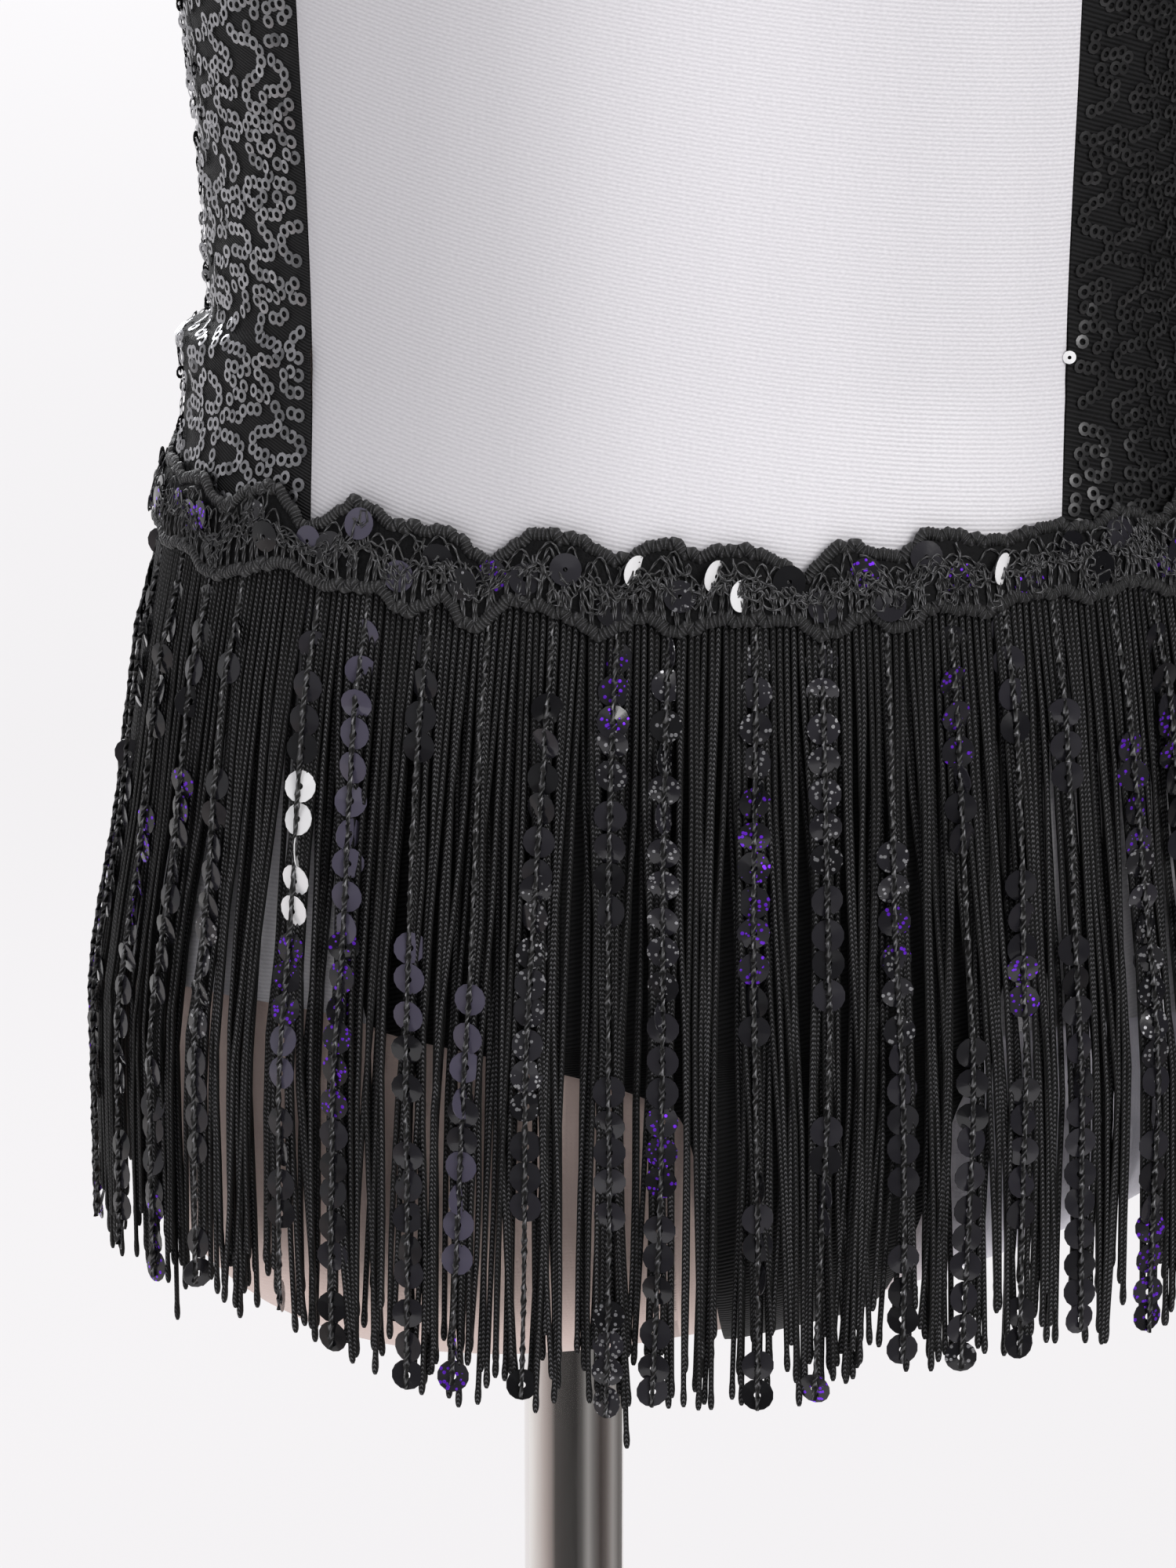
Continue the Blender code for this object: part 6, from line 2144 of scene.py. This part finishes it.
LOW_CARDS = np.array([
    Tone(-128, 0.95, 0.0),
    Tone(-110, 0.87, 0.2),
    Tone(-88, 0.68, 0.4),
    Tone(-70, 0.47, 0.7),
    Tone(-54, 0.29, 0.8),
    Tone(-44, 0.08, 0.5),
    Tone(-24, 0.06, 0.3),
    Tone(4, 0.035, 0.3),
    Tone(18, 0.10, 0.2),
    Tone(33, 0.33, 0.1),
    Tone(47, 0.16, 0.2),
    Tone(64, 0.055, 0.9),
    Tone(81, 0.13, 0.7),
    Tone(101, 0.34, 0.2),
    Tone(126, 0.16, 0.3),
    Tone(150, 0.20, 0.3),
])
FRONT_CARDS = np.array([
    Tone(-104, 0.62, 0.0),
    Tone(-86, 0.50, 0.0),
    Tone(-68, 0.36, 0.0),
    Tone(-46, 0.23, 0.0),
    Tone(-20, 0.16, 0.0),
    Tone(16, 0.07, 0.0),
    Tone(42, 0.02, 0.0),
])
RIGHT_CARDS = np.array([
    Tone(42, 0.02, 0.0),
    Tone(62, 0.01, 0.0),
    Tone(150, 0.01, 0.0),
    Tone(176, 0.05, 0.0),
])


class CardLight(Finish):
    """The cards' light, whose brightness is the tint and whose warmth is the kind."""

    label = "card light"

    def dress(self, shader: Shader) -> None:
        """Grey light that turns pinkish with warmth."""
        tint, warmth = shader.attribute("tint"), shader.attribute("kind")
        tone = shader.mix(warmth, (1.0, 1.0, 1.0), (1.0, 0.84, 0.80))
        shader.set(
            Base_Color=(0.0, 0.0, 0.0), Roughness=1.0, Specular_IOR_Level=0.0,
            Emission_Color=shader.mix(tint, (0.0, 0.0, 0.0), tone), Emission_Strength=1.0,
        )


CARD_LIGHT = CardLight()


@dataclass
class Studio:
    """The camera, the lights, the floor and the cards that the chrome reflects."""

    torso: Torso
    eye_distance: float = 1.40
    eye_bearing: float = math.radians(3.0)
    eye_height: float = 1.272
    pitch: float = math.radians(16.2)
    focal_px: float = 6860.0
    aside_px: float = 153.0
    picture_px: float = 2000.0
    sensor_mm: float = 36.0
    floor_radius: float = 30.0

    def camera(self) -> None:
        """Puts the camera where the photograph was taken, looking down a little and to the left."""
        bearing = self.eye_bearing
        eye = Vector((
            self.torso.axis_x + self.eye_distance * math.sin(bearing),
            -self.eye_distance * math.cos(bearing),
            self.eye_height,
        ))
        aside = math.atan(self.aside_px / self.focal_px * math.cos(self.pitch))
        heading = Matrix.Rotation(bearing + aside, 3, "Z") @ Vector((0, 1, 0))
        look = heading * math.cos(self.pitch) - Vector((0, 0, math.sin(self.pitch)))
        data = bpy.data.cameras.new("camera")
        data.lens = self.focal_px / self.picture_px * self.sensor_mm
        data.sensor_width = data.sensor_height = self.sensor_mm
        data.clip_start, data.clip_end = 0.05, 100.0
        made = bpy.data.objects.new("camera", data)
        made.location = eye
        made.rotation_euler = look.to_track_quat("-Z", "Y").to_euler()
        bpy.context.scene.collection.objects.link(made)
        bpy.context.scene.camera = made

    def light(self, name: str, place: tuple, size: float, power: float, colour: tuple) -> None:
        """A soft square light that faces the hip."""
        data = bpy.data.lights.new(name, "AREA")
        data.shape, data.size, data.energy, data.color = "SQUARE", size, power, colour
        made = bpy.data.objects.new(name, data)
        made.location = place
        target = Vector((self.torso.axis_x, 0, 0.90))
        made.rotation_euler = (target - made.location).to_track_quat("-Z", "Y").to_euler()
        bpy.context.scene.collection.objects.link(made)

    def floor(self) -> None:
        """A wide pale floor, which fills the view behind the dress."""
        turn = ring_turns(96)
        radii = np.array([0.0001, 0.3, 1.0, 3.0, 9.0, self.floor_radius])[::-1, None]
        points = np.stack([radii * np.cos(turn), radii * np.sin(turn), 0 * radii * turn - 0.0005], axis=-1)
        faces = [grid_quads(len(radii), 96, wrap_columns=True), (np.arange(96) + 5 * 96)[None]]
        flat = np.stack([radii / self.floor_radius + 0 * turn, 0 * radii * turn], axis=-1)
        Part.of(points, faces, flat).build("studio_floor", Pale(), "chrome")

    def cards(self, name: str, tones: Array, radius: float, heights: tuple) -> None:
        """A curved card round the stand, seen only in reflections.

        Args:
            name: the card's name.
            tones: rows of bearing, brightness and warmth.
            radius: its distance from the upright.
            heights: its lower and upper edge.
        """
        bearing = np.arange(tones[0, 0], tones[-1, 0] + 1, 2.0)
        brightness, warmth = (np.interp(bearing, tones[:, 0], tones[:, k]) for k in (1, 2))
        turn = np.radians(bearing) + math.atan2(self.torso.axis_x, self.eye_distance) + self.eye_bearing
        ring = np.stack([np.sin(turn), -np.cos(turn)], axis=-1) * radius
        points = np.stack([np.column_stack([ring, np.full(len(ring), z)]) for z in heights])
        faces = grid_quads(2, len(ring))[:, :, ::-1]
        part = Part.of(points, [faces], tint=np.tile(brightness, 2), kind=np.tile(warmth, 2))
        made = part.build(name, CARD_LIGHT, "chrome")
        made.visible_camera = made.visible_diffuse = made.visible_shadow = False
        made.visible_transmission = made.visible_volume_scatter = False

    def build(self) -> None:
        """Builds the camera, the lights, the floor, the cards and the room's own light."""
        self.camera()
        self.light("key", (1.5, -1.9, 2.1), 1.2, 40.0, (1.0, 0.985, 0.97))
        self.light("left_rim", (-1.25, 2.1, 1.7), 1.2, 25.0, (0.97, 0.98, 1.0))
        self.floor()
        self.cards("low_cards", LOW_CARDS, 1.15, (0.0, 0.62))
        self.cards("front_cards", FRONT_CARDS, 1.25, (0.40, 1.30))
        self.cards("right_cards", RIGHT_CARDS, 1.25, (0.40, 2.2))
        world = bpy.data.worlds.new("room")
        world.use_nodes = True
        room = world.node_tree.nodes["Background"]
        room.inputs["Color"].default_value = (0.95, 0.94, 0.97, 1.0)
        room.inputs["Strength"].default_value = 0.60
        bpy.context.scene.world = world
        bpy.context.scene.view_settings.view_transform = "Standard"


def main() -> None:
    """Builds the form and its stand, the dress and the studio."""
    logging.basicConfig(level=logging.INFO, format="%(message)s")
    low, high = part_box("form_body")
    torso = Torso(axis_x=float(low[0] + high[0]) / 2)
    Studio(torso).build()
    Stand().build()
    DressForm(torso).build()
    bodice = Bodice(torso)
    bodice.build()
    Brief(bodice).build()
    hip = Hip(torso)
    hanging = Fringe(hip).build()
    Trim(hip).build(hanging)


if __name__ == "__main__":
    main()
